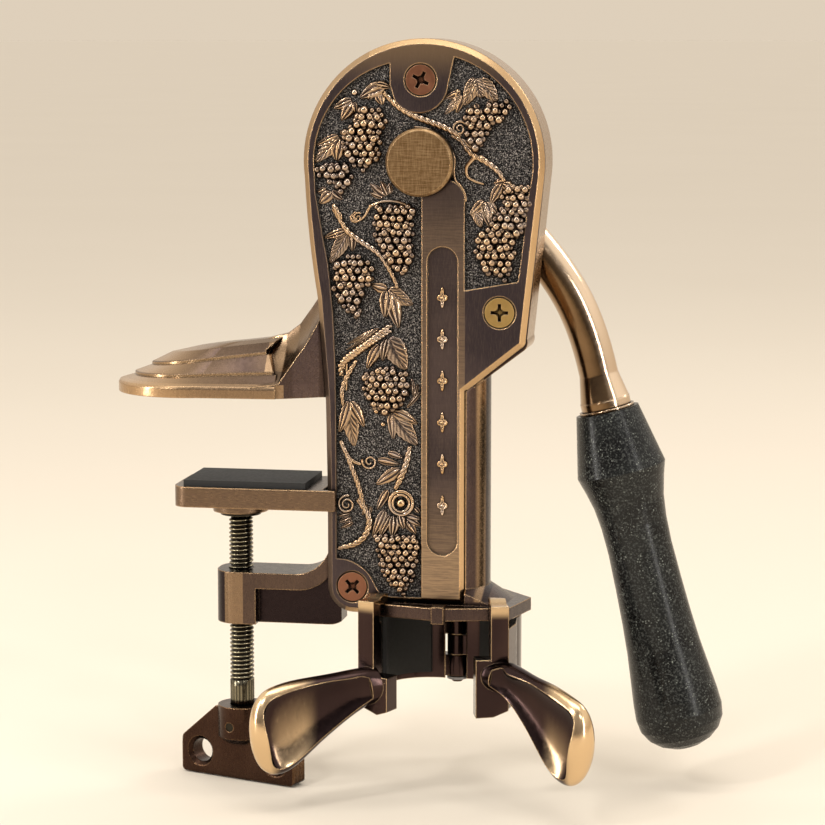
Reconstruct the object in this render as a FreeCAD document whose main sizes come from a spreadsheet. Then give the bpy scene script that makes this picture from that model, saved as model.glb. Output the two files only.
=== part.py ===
import FreeCAD, Part
import Sketcher
import math
import os

from FreeCAD import Vector, Rotation, Placement

# Counter mount corkscrew, millimetres, +Z up, front face towards -Y.
# Origin: the middle of the foot's flat underside, which stands on the counter top.
# The lever is down at the right, the worm is drawn up into the barrel and the jaws stand open.

doc = FreeCAD.newDocument("corkscrew")
sheet = doc.addObject("Spreadsheet::Sheet", "Params")

CELLS = [
    # where things are, measured from the body's left edge at counter height
    ("foot_offset", 36.0),       # from the origin to the body's left edge
    ("bottle_x", 37.2),          # axis of the barrel, worm and bottle
    ("pivot_x", 30.5),           # lever pivot
    ("pivot_z", 75.0),
    ("head_x", 31.0),
    ("head_z", 75.0),
    ("head_radius", 38.3),
    # body casting
    ("shell_front", -9.6),
    ("shell_back", 7.0),
    ("wall", 2.2),
    ("cavity_back", 4.8),
    ("barrel_radius", 13.7),
    ("bore_radius", 9.2),
    ("nut_radius", 8.6),
    ("passage_radius", 6.6),
    ("mouth_radius", 15.2),
    ("mouth_depth", 3.5),
    ("flange_top", -65.3),
    ("flange_thick", 4.0),
    ("boss_radius", 11.0),
    ("screw_boss_radius", 4.6),
    # cover
    ("cover_thick", 3.1),
    ("cover_chamfer", 1.7),
    ("ground_depth", 1.3),
    ("strip_left", 30.66),
    ("strip_right", 44.3),
    ("capsule_width", 9.7),
    ("capsule_top", 48.6),
    ("capsule_bottom", -49.6),
    ("capsule_depth", 0.9),
    ("cap_radius", 10.65),
    ("cap_height", 7.1),
    ("screw_head_radius", 5.0),
    ("screw_head_height", 1.7),
    ("screw_shank_radius", 2.5),
    ("screw_length", 14.0),
    # lever and crank
    ("shaft_radius", 7.0),
    ("bush_radius", 9.0),
    ("crank_throw", 31.0),
    ("crank_thick", 3.0),
    ("pin_radius", 2.4),
    ("rod_length", 85.0),
    ("rod_thick", 3.0),
    ("rod_width", 7.0),
    ("rod_eye_radius", 5.5),
    ("wrist_radius", 2.5),
    ("lever_plane", 15.0),
    ("hub_radius", 12.0),
    ("hub_width", 13.2),
    ("arm_radius", 6.3),
    ("grip_top_radius", 10.2),
    ("grip_shoulder_radius", 14.45),
    ("grip_waist_radius", 10.45),
    ("grip_end_radius", 14.2),
    ("grip_length", 113.2),
    ("grip_bore_radius", 4.0),
    ("stud_radius", 3.9),
    # carriage and worm
    ("carriage_radius", 9.12),
    ("carriage_height", 17.0),
    ("carriage_bottom", 12.0),
    ("carriage_flat", -5.8),
    ("worm_coil_radius", 3.25),
    ("worm_wire_radius", 1.5),
    ("worm_pitch", 10.0),
    ("worm_turns", 5.8),
    ("worm_shank_radius", 3.0),
    ("guide_z", -60.3),
    # jaws
    ("hinge_x", 37.2),
    ("hinge_y", 18.6),
    ("neck_radius", 15.4),
    ("jaw_wall", 3.1),
    ("jaw_top", -70.4),
    ("jaw_bottom", -96.0),
    ("left_open", 19.3),
    ("right_open", 16.1),
    ("pad_thick", 1.1),
    ("hinge_pin_radius", 2.0),
    ("knuckle_radius", 3.3),
    # clamp
    ("clamp_x", -31.3),
    ("thread_radius", 3.97),
    ("thread_hole_radius", 4.03),
    ("arm_top", -58.0),
    ("arm_bottom", -75.0),
    ("arm_half_depth", 9.0),
    ("plate_top", -29.5),
    ("plate_thick", 6.6),
    ("plate_half", 15.0),
    ("clamp_pad_thick", 2.0),
    ("knob_radius", 8.0),
    ("knob_top", -103.5),
    ("knob_height", 12.5),
    ("wing_half", 21.8),
    ("wing_thick", 6.8),
    ("wing_turn", 20.0),
]
P = {}
for row, (alias, value) in enumerate(CELLS, start=1):
    sheet.set("A%d" % row, alias.replace("_", " "))
    sheet.set("B%d" % row, str(value))
    sheet.setAlias("B%d" % row, alias)
    P[alias] = value
doc.recompute()

NODES = []


def bind(obj, prop, value):
    """Gives a property a number, or ties it to the sheet."""
    if isinstance(value, str):
        obj.setExpression(prop, value)
    else:
        setattr(obj, prop, value)


def put(obj, x, y, z, rotation=None):
    """Places an object; a coordinate given as text is tied to the sheet."""
    obj.Placement = Placement(
        Vector(*[0.0 if isinstance(v, str) else v for v in (x, y, z)]),
        rotation or Rotation(),
    )
    for name, v in (("x", x), ("y", y), ("z", z)):
        if isinstance(v, str):
            obj.setExpression("Placement.Base." + name, v)
    return obj


def toward(axis):
    return Rotation(Vector(0, 0, 1), Vector(*axis))


def cylinder(name, radius, height, x, y, z, axis=(0, 0, 1)):
    o = doc.addObject("Part::Cylinder", name)
    bind(o, "Radius", radius)
    bind(o, "Height", height)
    return put(o, x, y, z, toward(axis))


def cone(name, radius1, radius2, height, x, y, z, axis=(0, 0, 1)):
    o = doc.addObject("Part::Cone", name)
    bind(o, "Radius1", radius1)
    bind(o, "Radius2", radius2)
    bind(o, "Height", height)
    return put(o, x, y, z, toward(axis))


def block(name, length, width, height, x, y, z, rotation=None):
    o = doc.addObject("Part::Box", name)
    bind(o, "Length", length)
    bind(o, "Width", width)
    bind(o, "Height", height)
    return put(o, x, y, z, rotation)


def fuse(name, *parts):
    o = doc.addObject("Part::MultiFuse", name)
    o.Shapes = list(parts)
    o.Refine = True
    return o


def cut(name, base, tool):
    o = doc.addObject("Part::Cut", name)
    o.Base = base
    o.Tool = tool
    return o


def common(name, a, b):
    o = doc.addObject("Part::MultiCommon", name)
    o.Shapes = [a, b]
    return o


def trace(sketch, path):
    """Draws a closed path: ("p", x, y) goes straight to a point, ("a", mx, my, x, y) goes through m on an arc."""
    start = here = path[0][-2:]
    for step in list(path[1:]) + [("p",) + tuple(start)]:
        there = step[-2:]
        a, b = Vector(here[0], here[1], 0), Vector(there[0], there[1], 0)
        if (a - b).Length > 1e-6:
            if step[0] == "a":
                sketch.addGeometry(Part.Arc(a, Vector(step[1], step[2], 0), b), False)
            else:
                sketch.addGeometry(Part.LineSegment(a, b), False)
        here = there
    n = sketch.GeometryCount
    joints = []
    for i in range(n):
        j = (i + 1) % n
        _, ki, kj = min(((sketch.getPoint(i, a) - sketch.getPoint(j, b)).Length, a, b) for a in (1, 2) for b in (1, 2))
        joints.append((i, ki, j, kj))
    for joint in joints:
        sketch.addConstraint(Sketcher.Constraint("Coincident", *joint))
    for i in range(n):
        sketch.addConstraint(Sketcher.Constraint("Block", i))


FRONT_VIEW = Rotation(Vector(1, 0, 0), 90)  # sketch x runs along X, sketch y up Z, its normal along -Y


def prism(name, path, low, high, plane="front"):
    """A closed path swept straight: along Y between low and high (front), or along Z (top)."""
    s = doc.addObject("Sketcher::SketchObject", name + "_sketch")
    trace(s, path)
    e = doc.addObject("Part::Extrusion", name)
    e.Base = s
    e.DirMode = "Custom"
    e.Solid = True
    if plane == "front":
        s.Placement = Placement(Vector(0, 0, 0), FRONT_VIEW)
        e.Dir = Vector(0, 1, 0)
        if isinstance(low, str):
            s.setExpression("Placement.Base.y", low)
        else:
            s.Placement.Base.y = low
    else:
        s.Placement = Placement(Vector(0, 0, 0 if isinstance(low, str) else low), Rotation())
        if isinstance(low, str):
            s.setExpression("Placement.Base.z", low)
        e.Dir = Vector(0, 0, 1)
    lo = low if isinstance(low, str) else repr(low)
    hi = high if isinstance(high, str) else repr(high)
    if isinstance(low, str) or isinstance(high, str):
        e.setExpression("LengthFwd", "(%s) - (%s)" % (hi, lo))
    else:
        e.LengthFwd = high - low
    return e


def node(obj, label, tie=True):
    """Names a finished sub-part and shifts it from the body's left edge to the origin."""
    obj.Label = label
    if tie:
        obj.Placement = Placement(Vector(P["foot_offset"], 0, 0), Rotation())
        obj.setExpression("Placement.Base.x", "Params.foot_offset")
    NODES.append(obj)
    return obj


def origin_plane(body, role):
    return [f for f in body.Origin.OriginFeatures if f.Role == role][0]


def new_sketch(body, name, role="XZ_Plane"):
    s = body.newObject("Sketcher::SketchObject", name)
    s.AttachmentSupport = [(origin_plane(body, role), "")]
    s.MapMode = "FlatFace"
    return s


def dim_points(sketch, points):
    """Closed polygon; each coordinate is a number or (number, text tied to the sheet)."""
    plain = [tuple(c[0] if isinstance(c, tuple) else c for c in p) for p in points]
    n = len(plain)
    for i in range(n):
        a, b = plain[i], plain[(i + 1) % n]
        sketch.addGeometry(Part.LineSegment(Vector(a[0], a[1], 0), Vector(b[0], b[1], 0)), False)
    for i in range(n):
        sketch.addConstraint(Sketcher.Constraint("Coincident", i, 2, (i + 1) % n, 1))
    for i, p in enumerate(points):
        for k, kind, axis in ((0, "DistanceX", -2), (1, "DistanceY", -1)):
            value = plain[i][k]
            if abs(value) < 1e-9:
                sketch.addConstraint(Sketcher.Constraint("PointOnObject", i, 1, axis))
                continue
            if value > 0:
                index = sketch.addConstraint(Sketcher.Constraint(kind, -1, 1, i, 1, value))
            else:
                index = sketch.addConstraint(Sketcher.Constraint(kind, i, 1, -1, 1, -value))
            if isinstance(p[k], tuple):
                text = p[k][1] if value > 0 else "-(%s)" % p[k][1]
                sketch.setExpression("Constraints[%d]" % index, text)


def turned(label, points, x, y, z, axis=(0, 0, 1), spin=0.0):
    """A turned piece: half section of (radius, height) points about its own axis."""
    body = doc.addObject("PartDesign::Body", label + "_body")
    s = new_sketch(body, label + "_profile")
    dim_points(s, points)
    r = body.newObject("PartDesign::Revolution", label + "_turn")
    r.Profile = s
    r.ReferenceAxis = (s, ["V_Axis"])
    r.Angle = 360.0
    body.Label = label
    put(body, x, y, z, toward(axis).multiply(Rotation(Vector(0, 0, 1), spin)))
    NODES.append(body)
    return body


def sheet_value(alias, scale=1.0):
    """A number with the text that ties it to the sheet."""
    if scale == 1.0:
        return (P[alias], "Params." + alias)
    return (P[alias] * scale, "Params.%s * %r" % (alias, scale))


V = sheet_value
X_OF = "Params.foot_offset + "


def sub(a, b):
    return (P[a] - P[b], "Params.%s - Params.%s" % (a, b))


# ---------------------------------------------------------------- outlines, in the front view (x, z)
hx, hz, hr = P["head_x"], P["head_z"], P["head_radius"]


def on_head(angle, inset=0.0):
    a = math.radians(angle)
    return hx + (hr - inset) * math.cos(a), hz + (hr - inset) * math.sin(a)


def outline(inset=0.0, right=44.6, bottom=-65.2, drop=0.0):
    """The cover's outline. The lower left lobe is round about its screw. The casting behind stands lower by drop at the slanted edge."""
    i = inset
    left, top, rite = on_head(187.4, i), on_head(92, i), on_head(-6.2, i)
    return [
        ("p",) + rite,
        ("a",) + top + left,
        ("a", -5.5 + i, 50.5, -3.0 + i, 32.0),
        ("p", -0.5 + i, -1.0),
        ("p", 0.0 + i, -30.0),
        ("p", 0.0 + i, -60.6),
        ("a", 8.5 - (8.5 - i) * math.sin(math.radians(45)), -60.6 - (8.5 - i) * math.cos(math.radians(45)), 8.5, -69.1 + i),
        ("p", 12.5, -69.1 + i),
        ("p", 16.5, bottom + i),
        ("p", right - i, bottom + i),
        ("p", right - i, 3.0 + 0.4 * i - 1.25 * drop),
        ("p", 62.0 - i + 0.35 * drop, 16.9 + 0.6 * i - 0.9 * drop),
        ("a", 63.2 - i + 0.35 * drop, 18.0 + 0.4 * i - 0.7 * drop, 63.5 - i + 0.2 * drop, 19.6),
    ]


def cavity_outline():
    i = P["wall"]
    return [
        ("p",) + on_head(-6.2, i),
        ("a",) + on_head(92, i) + on_head(187.4, i),
        ("p", -0.8, 33.0),
        ("p", 1.9, -1.0),
        ("p", 2.4, -30.0),
        ("p", 2.4, -48.0),
        ("a", 3.3, -50.1, 5.4, -51.0),
        ("p", 22.0, -51.0),
        ("p", 22.0, -46.0),
        ("p", 43.6, -46.0),
        ("p", 43.6, 5.6),
        ("p", 60.4, 19.4),
    ]


# ---------------------------------------------------------------- body casting
shell = prism("shell_block", outline(0.0, right=43.6, drop=1.2), "Params.shell_front", "Params.shell_back")
barrel = cylinder("barrel_outer", "Params.barrel_radius", "31 - Params.flange_top", "Params.bottle_x", 0.0, "Params.flange_top")
barrel_top = cone("barrel_top", "Params.barrel_radius", 7.0, 7.0, "Params.bottle_x", 0.0, 31.0)
barrel_root = cone("barrel_root", 21.0, "Params.barrel_radius", 5.0, "Params.bottle_x", 0.0, "Params.flange_top")
FLANGE = [
    ("p", 37.2, -20.0), ("p", 59.2, -14.8), ("p", 63.7, 3.5), ("p", 52.7, 16.5),
    ("p", 43.2, 22.0), ("p", 31.2, 22.0), ("p", 21.7, 16.5), ("p", 10.7, 3.5), ("p", 15.2, -14.8),
]
flange = prism("flange_block", FLANGE, "Params.flange_top - Params.flange_thick", "Params.flange_top", "top")
root_limit = prism("root_limit", [("p", x, max(y, -13.6)) for x, y in [q[1:] for q in FLANGE]], "Params.flange_top", "Params.flange_top + 5", "top")
root_cone = common("barrel_root_trimmed", barrel_root, root_limit)
tab = block("front_tab", 4.0, 5.0, 5.4, 35.2, -21.2, -70.0)

# clamp foot: a stepped dome on a flat tongue, and a root that sweeps up to the body


def tongue(tip, half, wide_at, back, z, name, tilt=0.0):
    """Plan section of the foot at height z over the body's edge; tilt raises its right end."""
    s = doc.addObject("Sketcher::SketchObject", name)
    trace(s, [
        ("p", back, -half * 0.93), ("p", back, half * 0.93), ("p", wide_at, half),
        ("a", tip + (wide_at - tip) * 0.2, half * 0.66, tip, 0.0),
        ("a", tip + (wide_at - tip) * 0.2, -half * 0.66, wide_at, -half),
    ])
    s.Placement = Placement(Vector(0, 0, z), Rotation(Vector(0, 1, 0), -tilt))
    return s


def loft(name, sections, ruled=True):
    o = doc.addObject("Part::Loft", name)
    o.Sections = sections
    o.Solid = True
    o.Ruled = ruled
    return o


foot_low = loft("foot_low", [
    tongue(-71.6, 19.7, -41.0, -15.5, 0.0, "foot_a"), tongue(-71.6, 19.7, -41.0, -15.5, 2.9, "foot_b"),
    tongue(-71.1, 19.2, -41.0, -15.6, 3.7, "foot_c"), tongue(-70.2, 18.3, -41.0, -15.8, 4.1, "foot_d"),
    tongue(-66.8, 14.9, -40.0, -16.0, 7.9, "foot_e", 2.4),
])
foot_mid = loft("foot_mid", [
    tongue(-66.3, 14.3, -40.0, -17.0, 4.6, "foot_f", 2.4), tongue(-66.3, 14.3, -40.0, -17.0, 8.75, "foot_g", 2.4),
    tongue(-65.9, 13.9, -40.0, -17.3, 9.09, "foot_h", 2.4), tongue(-61.5, 9.9, -38.0, -19.5, 15.6, "foot_i", 7.0),
])
foot_high = loft("foot_high", [
    tongue(-61.0, 9.3, -38.0, -20.6, 12.0, "foot_j", 7.0), tongue(-61.0, 9.3, -38.0, -20.6, 16.45, "foot_k", 7.0),
    tongue(-60.6, 8.9, -38.0, -20.9, 16.8, "foot_l", 7.0), tongue(-54.0, 6.0, -36.0, -18.0, 19.2, "foot_m", 7.0),
    tongue(-44.0, 2.6, -30.0, -16.0, 20.3, "foot_n", 7.0),
])


def root_section(x, front, back, ridge, top, mid_y, mid_z, name):
    s = doc.addObject("Sketcher::SketchObject", name)
    trace(s, [
        ("p", -front, 0.0), ("p", back, 0.0), ("p", back, ridge),
        ("a", mid_y, mid_z, 2.5, top), ("p", -2.5, top), ("a", -mid_y, mid_z, -front, ridge),
    ])
    s.Placement = Placement(Vector(x, 0, 0), Rotation(Vector(1, 0, 0), 90).multiply(Rotation(Vector(0, 1, 0), 90)))
    return s


root_web = loft("foot_root", [
    root_section(-24.0, 18.6, 18.6, 3.6, 17.0, 8.6, 8.6, "root_a"),
    root_section(-14.7, 17.4, 17.4, 4.6, 19.4, 8.4, 10.6, "root_b"),
    root_section(-10.5, 15.4, 14.9, 11.0, 22.6, 7.6, 15.6, "root_c"),
    root_section(-6.3, 13.0, 11.6, 17.4, 28.4, 6.8, 21.6, "root_d"),
    root_section(-2.6, 10.9, 8.6, 24.5, 34.0, 5.8, 28.2, "root_e"),
    root_section(1.5, 9.6, 7.0, 30.5, 40.0, 5.2, 34.4, "root_f"),
])

# clamp arm: flanged beam with a block round the clamp screw
arm_plan = prism("arm_plan", [
    ("p", -32.0, -9.0), ("p", 3.0, -9.0), ("p", 3.0, 9.0), ("p", -32.0, 9.0),
    ("a", -36.7, 6.6, -38.6, 2.4), ("p", -38.6, -2.4), ("a", -36.7, -6.6, -32.0, -9.0),
], "Params.arm_bottom", -44.0, "top")
arm_side = prism("arm_side", [
    ("p", -40.0, P["arm_bottom"]), ("p", -1.0, P["arm_bottom"]), ("a", 4.4, -72.7, 6.6, -67.5),
    ("p", 6.6, -46.0), ("p", 0.6, -46.0), ("a", -3.0, -54.4, -11.0, P["arm_top"]), ("p", -40.0, P["arm_top"]),
], -9.0, 9.0)
arm_beam = common("arm_beam", arm_plan, arm_side)
pocket_path = [
    ("p", -24.5, -76.0), ("p", 12.0, -76.0), ("p", 12.0, -51.0), ("p", 3.0, -51.0),
    ("a", -1.6, -59.8, -11.0, -63.2), ("p", -24.5, -63.2),
]
arm_pocket_front = prism("arm_pocket_front", pocket_path, -9.5, -4.6)
arm_pocket_back = prism("arm_pocket_back", pocket_path, 4.6, 9.5)
arm = cut("clamp_arm_beam", arm_beam, fuse("arm_pockets", arm_pocket_front, arm_pocket_back))

solid = fuse("body_solid", shell, barrel, barrel_top)
outer = fuse("body_outer", solid, flange, root_cone, tab, foot_low, foot_mid, foot_high, root_web, arm)

cavity = fuse("cavity_full",
              prism("cavity_block", cavity_outline(), "Params.shell_front - 1", "Params.cavity_back"),
              cylinder("crank_sweep", "Params.crank_throw + 4.95", 7.3, "Params.pivot_x", -10.0, "Params.pivot_z", (0, 1, 0)))
cover_room = prism("cover_room", outline(-0.03), -15.0, "Params.shell_front")
keep_barrel = cylinder("cavity_keep_barrel", "Params.barrel_radius", 48.0, "Params.bottle_x", 0.0, -60.0)
keep_pivot = cylinder("cavity_keep_pivot", "Params.boss_radius", 7.0, "Params.pivot_x", -2.1, "Params.pivot_z", (0, 1, 0))
keep_one = cylinder("cavity_keep_screw_1", "Params.screw_boss_radius", 14.4, 30.3, -9.6, 100.5, (0, 1, 0))
keep_two = cylinder("cavity_keep_screw_2", "Params.screw_boss_radius", 14.4, 55.4, -9.6, 28.2, (0, 1, 0))
cavity_cut = cut("cavity", cavity, fuse("cavity_keep", keep_barrel, keep_pivot, keep_one, keep_two))

bore = cylinder("barrel_bore", "Params.bore_radius", 85.0, "Params.bottle_x", 0.0, -54.0)
slot = block("barrel_slot", 16.0, 11.0, 85.0, 28.0, -11.0, -54.0)
nut_seat = cylinder("nut_seat", "Params.nut_radius", 9.6, "Params.bottle_x", 0.0, -63.5)
passage = cylinder("worm_passage", "Params.passage_radius", 6.0, "Params.bottle_x", 0.0, -68.0)
mouth = cylinder("bottle_mouth", "Params.mouth_radius", "Params.mouth_depth + 1", "Params.bottle_x", 0.0, "Params.flange_top - Params.flange_thick - 1")
bush_hole = cylinder("bush_hole", "Params.bush_radius", 12.0, "Params.pivot_x", -3.0, "Params.pivot_z", (0, 1, 0))
screw_holes = [
    cylinder("screw_hole_%d" % (n + 1), "Params.screw_shank_radius + 0.02", 12.5, sx, -9.7, sz, (0, 1, 0))
    for n, (sx, sz) in enumerate([(30.3, 100.5), (55.4, 28.2), (8.2, -60.6)])
]
guide_hole = cylinder("guide_hole", 1.52, 10.0, "Params.bottle_x", 8.0, "Params.guide_z", (0, 1, 0))
hinge_hole = cylinder("hinge_hole", "Params.hinge_pin_radius + 0.02", 5.0, "Params.hinge_x", "Params.hinge_y", -71.0)
clamp_hole = cylinder("clamp_hole", "Params.thread_hole_radius", 22.0, "Params.clamp_x", 0.0, -78.0)
stop_holes = [
    cylinder("stop_hole_%d" % (n + 1), 2.22, 2.2, sx, 4.0, sz, (0, 1, 0))
    for n, (sx, sz) in enumerate([(31.84, 89.45), (41.50, 65.53)])
]
pad_seat = prism("pad_seat", [("p", -18.0, -15.0), ("p", -18.0, 15.0), ("p", -44.0, 15.6), ("a", -56.5, 11.0, -62.0, 0.0), ("a", -56.5, -11.0, -44.0, -15.6)], -1.0, 1.2, "top")

tools = fuse("body_tools", cavity_cut, bore, slot, nut_seat, passage, mouth, bush_hole, guide_hole, hinge_hole, clamp_hole, pad_seat, cover_room, *(screw_holes + stop_holes))
housing = node(cut("housing_casting", outer, tools), "housing")

foot_pad = prism("foot_pad_sheet", [("p", -18.1, -14.9), ("p", -18.1, 14.9), ("p", -44.0, 15.5), ("a", -56.4, 10.9, -61.9, 0.0), ("a", -56.4, -10.9, -44.0, -15.5)], 0.0, 1.2, "top")
node(foot_pad, "foot_pad")

# ---------------------------------------------------------------- cover plate
cover = doc.addObject("PartDesign::Body", "cover_plate_body")
s = new_sketch(cover, "cover_outline")
trace(s, outline(0.0))
pad = cover.newObject("PartDesign::Pad", "cover_pad")
pad.Profile = s
bind(pad, "Length", "Params.cover_thick")
doc.recompute()
front_plane = max(abs(v.Point.y) for v in pad.Shape.Vertexes)
side = -1.0 if min(v.Point.y for v in pad.Shape.Vertexes) < -1e-6 else 1.0
rim = [
    "Edge%d" % (n + 1) for n, e in enumerate(pad.Shape.Edges)
    if all(abs(v.Point.y - side * front_plane) < 1e-6 for v in e.Vertexes)
]
bevel = cover.newObject("PartDesign::Chamfer", "cover_bevel")
bevel.Base = (pad, rim)
bind(bevel, "Size", "Params.cover_chamfer")
doc.recompute()


def cover_pocket(name, paths, depth):
    """Cuts closed paths into the cover's front face."""
    sk = new_sketch(cover, name + "_sketch")
    for path in paths:
        first = sk.GeometryCount
        start = here = path[0][-2:]
        for step in list(path[1:]) + [("p",) + tuple(start)]:
            there = step[-2:]
            a, b = Vector(here[0], here[1], 0), Vector(there[0], there[1], 0)
            if (a - b).Length > 1e-6:
                sk.addGeometry(Part.Arc(a, Vector(step[1], step[2], 0), b) if step[0] == "a" else Part.LineSegment(a, b), False)
            here = there
        for i in range(first, sk.GeometryCount):
            sk.addConstraint(Sketcher.Constraint("Block", i))
    sk.setExpression("AttachmentOffset.Base.z", "%sParams.cover_thick" % ("" if side < 0 else "-"))
    before = cover.Shape.Volume
    pk = cover.newObject("PartDesign::Pocket", name)
    pk.Profile = sk
    bind(pk, "Length", depth)
    doc.recompute()
    if not pk.Shape.Volume < before - 1e-3:
        pk.Reversed = True
        doc.recompute()
    if not pk.Shape.Volume < before - 1e-3:
        raise RuntimeError(name + " cuts nothing")
    return pk


GROUND = [
    ("p", P["strip_left"], -63.4), ("p", P["strip_left"], 66.5), ("a", 22.4, 75.0, 30.5, 83.1), ("a", 38.6, 75.0, 37.2, 70.4),
    ("p", 40.3, 69.2), ("a", 43.0, 67.3, 44.5, 64.3), ("p", P["strip_right"], 59.8), ("p", P["strip_right"], 35.0),
    ("p", 61.2, 38.0), ("p", 62.75, 49.6), ("p", 64.5, 66.0),
    ("a",) + on_head(38, 3.9) + on_head(73, 4.2),
    ("p", 39.0, 99.0), ("a", 31.0, 90.3, 22.2, 94.0), ("p", 20.6, 99.0), ("p", 20.6, 105.6),
    ("a",) + on_head(142, 4.4) + on_head(184.0, 3.6),
    ("p", -3.3, 65.0), ("p", -1.0, 51.6), ("p", 0.8, 41.8), ("p", 2.2, 27.0), ("p", 2.9, 10.0), ("p", 3.1, -5.0), ("p", 3.1, -51.6),
    ("a", 10.2, -53.4, 15.4, -59.4), ("p", 17.6, -63.4),
]
cover_pocket("cover_ground", [GROUND], "Params.ground_depth")
mid = 37.3
half = P["capsule_width"] / 2
cover_pocket("capsule_recess", [[
    ("p", mid - half, P["capsule_bottom"] + half), ("a", mid, P["capsule_bottom"], mid + half, P["capsule_bottom"] + half),
    ("p", mid + half, P["capsule_top"] - half), ("a", mid, P["capsule_top"], mid - half, P["capsule_top"] - half),
]], "Params.capsule_depth")


def ring_path(x, z, r):
    return [("p", x - r, z), ("a", x, z - r, x + r, z), ("a", x, z + r, x - r, z)]


SCREWS = [(30.3, 100.5), (55.4, 28.2), (8.2, -60.6)]
cover_pocket("screw_seats", [ring_path(sx, sz, P["screw_head_radius"] + 0.12) for sx, sz in SCREWS], "Params.screw_head_height + 0.1")
cover_pocket("screw_clearance", [ring_path(sx, sz, P["screw_shank_radius"] + 0.25) for sx, sz in SCREWS] + [ring_path(P["pivot_x"], P["pivot_z"], P["cap_radius"] + 0.02)], "Params.cover_thick + 1")
cover.Label = "cover_plate"
put(cover, "Params.foot_offset", "Params.shell_front" if side < 0 else "Params.shell_front", 0.0)
NODES.append(cover)

turned("pivot_cap", [
    (0.0, 0.0), (V("cap_radius"), 0.0), (V("cap_radius"), (P["cap_height"] - 0.8, "Params.cap_height - 0.8")),
    ((P["cap_radius"] - 0.8, "Params.cap_radius - 0.8"), V("cap_height")), (0.0, V("cap_height")),
], X_OF + "Params.pivot_x", "Params.shell_front", "Params.pivot_z", (0, -1, 0))


def screw(name, x, z, turn):
    """Cross-recess machine screw, head to the front."""
    head = cone(name + "_head", "Params.screw_head_radius", "Params.screw_head_radius - 0.3", "Params.screw_head_height", 0.0, 0.0, 0.0)
    shank = cylinder(name + "_shank", "Params.screw_shank_radius", "Params.screw_length - Params.screw_head_height", 0.0, 0.0, "Params.screw_head_height - Params.screw_length")
    flat_a = block(name + "_slot_a", 5.6, 1.1, 1.3, -2.8, -0.55, "Params.screw_head_height - 1.2")
    flat_b = block(name + "_slot_b", 1.1, 5.6, 1.3, -0.55, -2.8, "Params.screw_head_height - 1.2")
    core = cone(name + "_recess", 0.5, 1.5, 1.3, 0.0, 0.0, "Params.screw_head_height - 1.2")
    made = cut(name, fuse(name + "_blank", head, shank), fuse(name + "_cross", flat_a, flat_b, core))
    return put(made, x, "Params.shell_front - Params.cover_thick + Params.screw_head_height + 0.1", z, toward((0, -1, 0)).multiply(Rotation(Vector(0, 0, 1), turn)))


screws = doc.addObject("Part::Compound", "cover_screws_group")
screws.Links = [screw("cover_screw_%d" % (n + 1), sx, sz, (62.0, 0.0, 45.0)[n]) for n, (sx, sz) in enumerate(SCREWS)]
node(screws, "cover_screws")

# ---------------------------------------------------------------- lever, shaft and crank
rear = 7.6
turned("rear_bush", [
    ((P["shaft_radius"] + 0.05, "Params.shaft_radius + 0.05"), 0.0),
    ((P["bush_radius"] - 0.02, "Params.bush_radius - 0.02"), 0.0), ((P["bush_radius"] - 0.02, "Params.bush_radius - 0.02"), 9.1),
    ((P["shaft_radius"] + 0.05, "Params.shaft_radius + 0.05"), 9.1),
], X_OF + "Params.pivot_x", -2.1, "Params.pivot_z", (0, 1, 0))

turned("crank_shaft", [
    (1.6, 0.0), (V("shaft_radius"), 0.0), (V("shaft_radius"), 23.6), (4.0, 23.6), (4.0, 31.0), (0.0, 31.0), (0.0, 10.0), (1.6, 10.0),
], X_OF + "Params.pivot_x", -2.8, "Params.pivot_z", (0, 1, 0))

REST = 112.0  # crank angle at rest, from +X, anticlockwise seen from the front
throw = P["crank_throw"]
pin_x = P["pivot_x"] + throw * math.cos(math.radians(REST))
pin_z = P["pivot_z"] + throw * math.sin(math.radians(REST))
wrist_z = pin_z - math.sqrt(P["rod_length"] ** 2 - (P["bottle_x"] - pin_x) ** 2)
tilt = math.degrees(math.atan2(P["bottle_x"] - pin_x, pin_z - wrist_z))


def link(name, span, r1, r2, width, low, high, x, z, angle):
    """A flat link: two round ends and tangent sides, turned about its first eye."""
    body = doc.addObject("PartDesign::Body", name + "_body")
    sk = new_sketch(body, name + "_outline")
    h = width / 2.0
    a1, a2 = math.sqrt(r1 * r1 - h * h), math.sqrt(r2 * r2 - h * h)
    pts = [
        ("p", a1, -h), ("p", span - a2, -h), ("a", span + r2, 0.0, span - a2, h), ("p", a1, h), ("a", -r1, 0.0, a1, -h),
    ]
    trace(sk, pts)
    pd = body.newObject("PartDesign::Pad", name + "_pad")
    pd.Profile = sk
    bind(pd, "Length", high - low)
    doc.recompute()
    ys = [v.Point.y for v in pd.Shape.Vertexes]
    put(body, P["foot_offset"] + x, high if min(ys) < -1e-6 else low, z, Rotation(Vector(0, -1, 0), angle))
    return body


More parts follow.
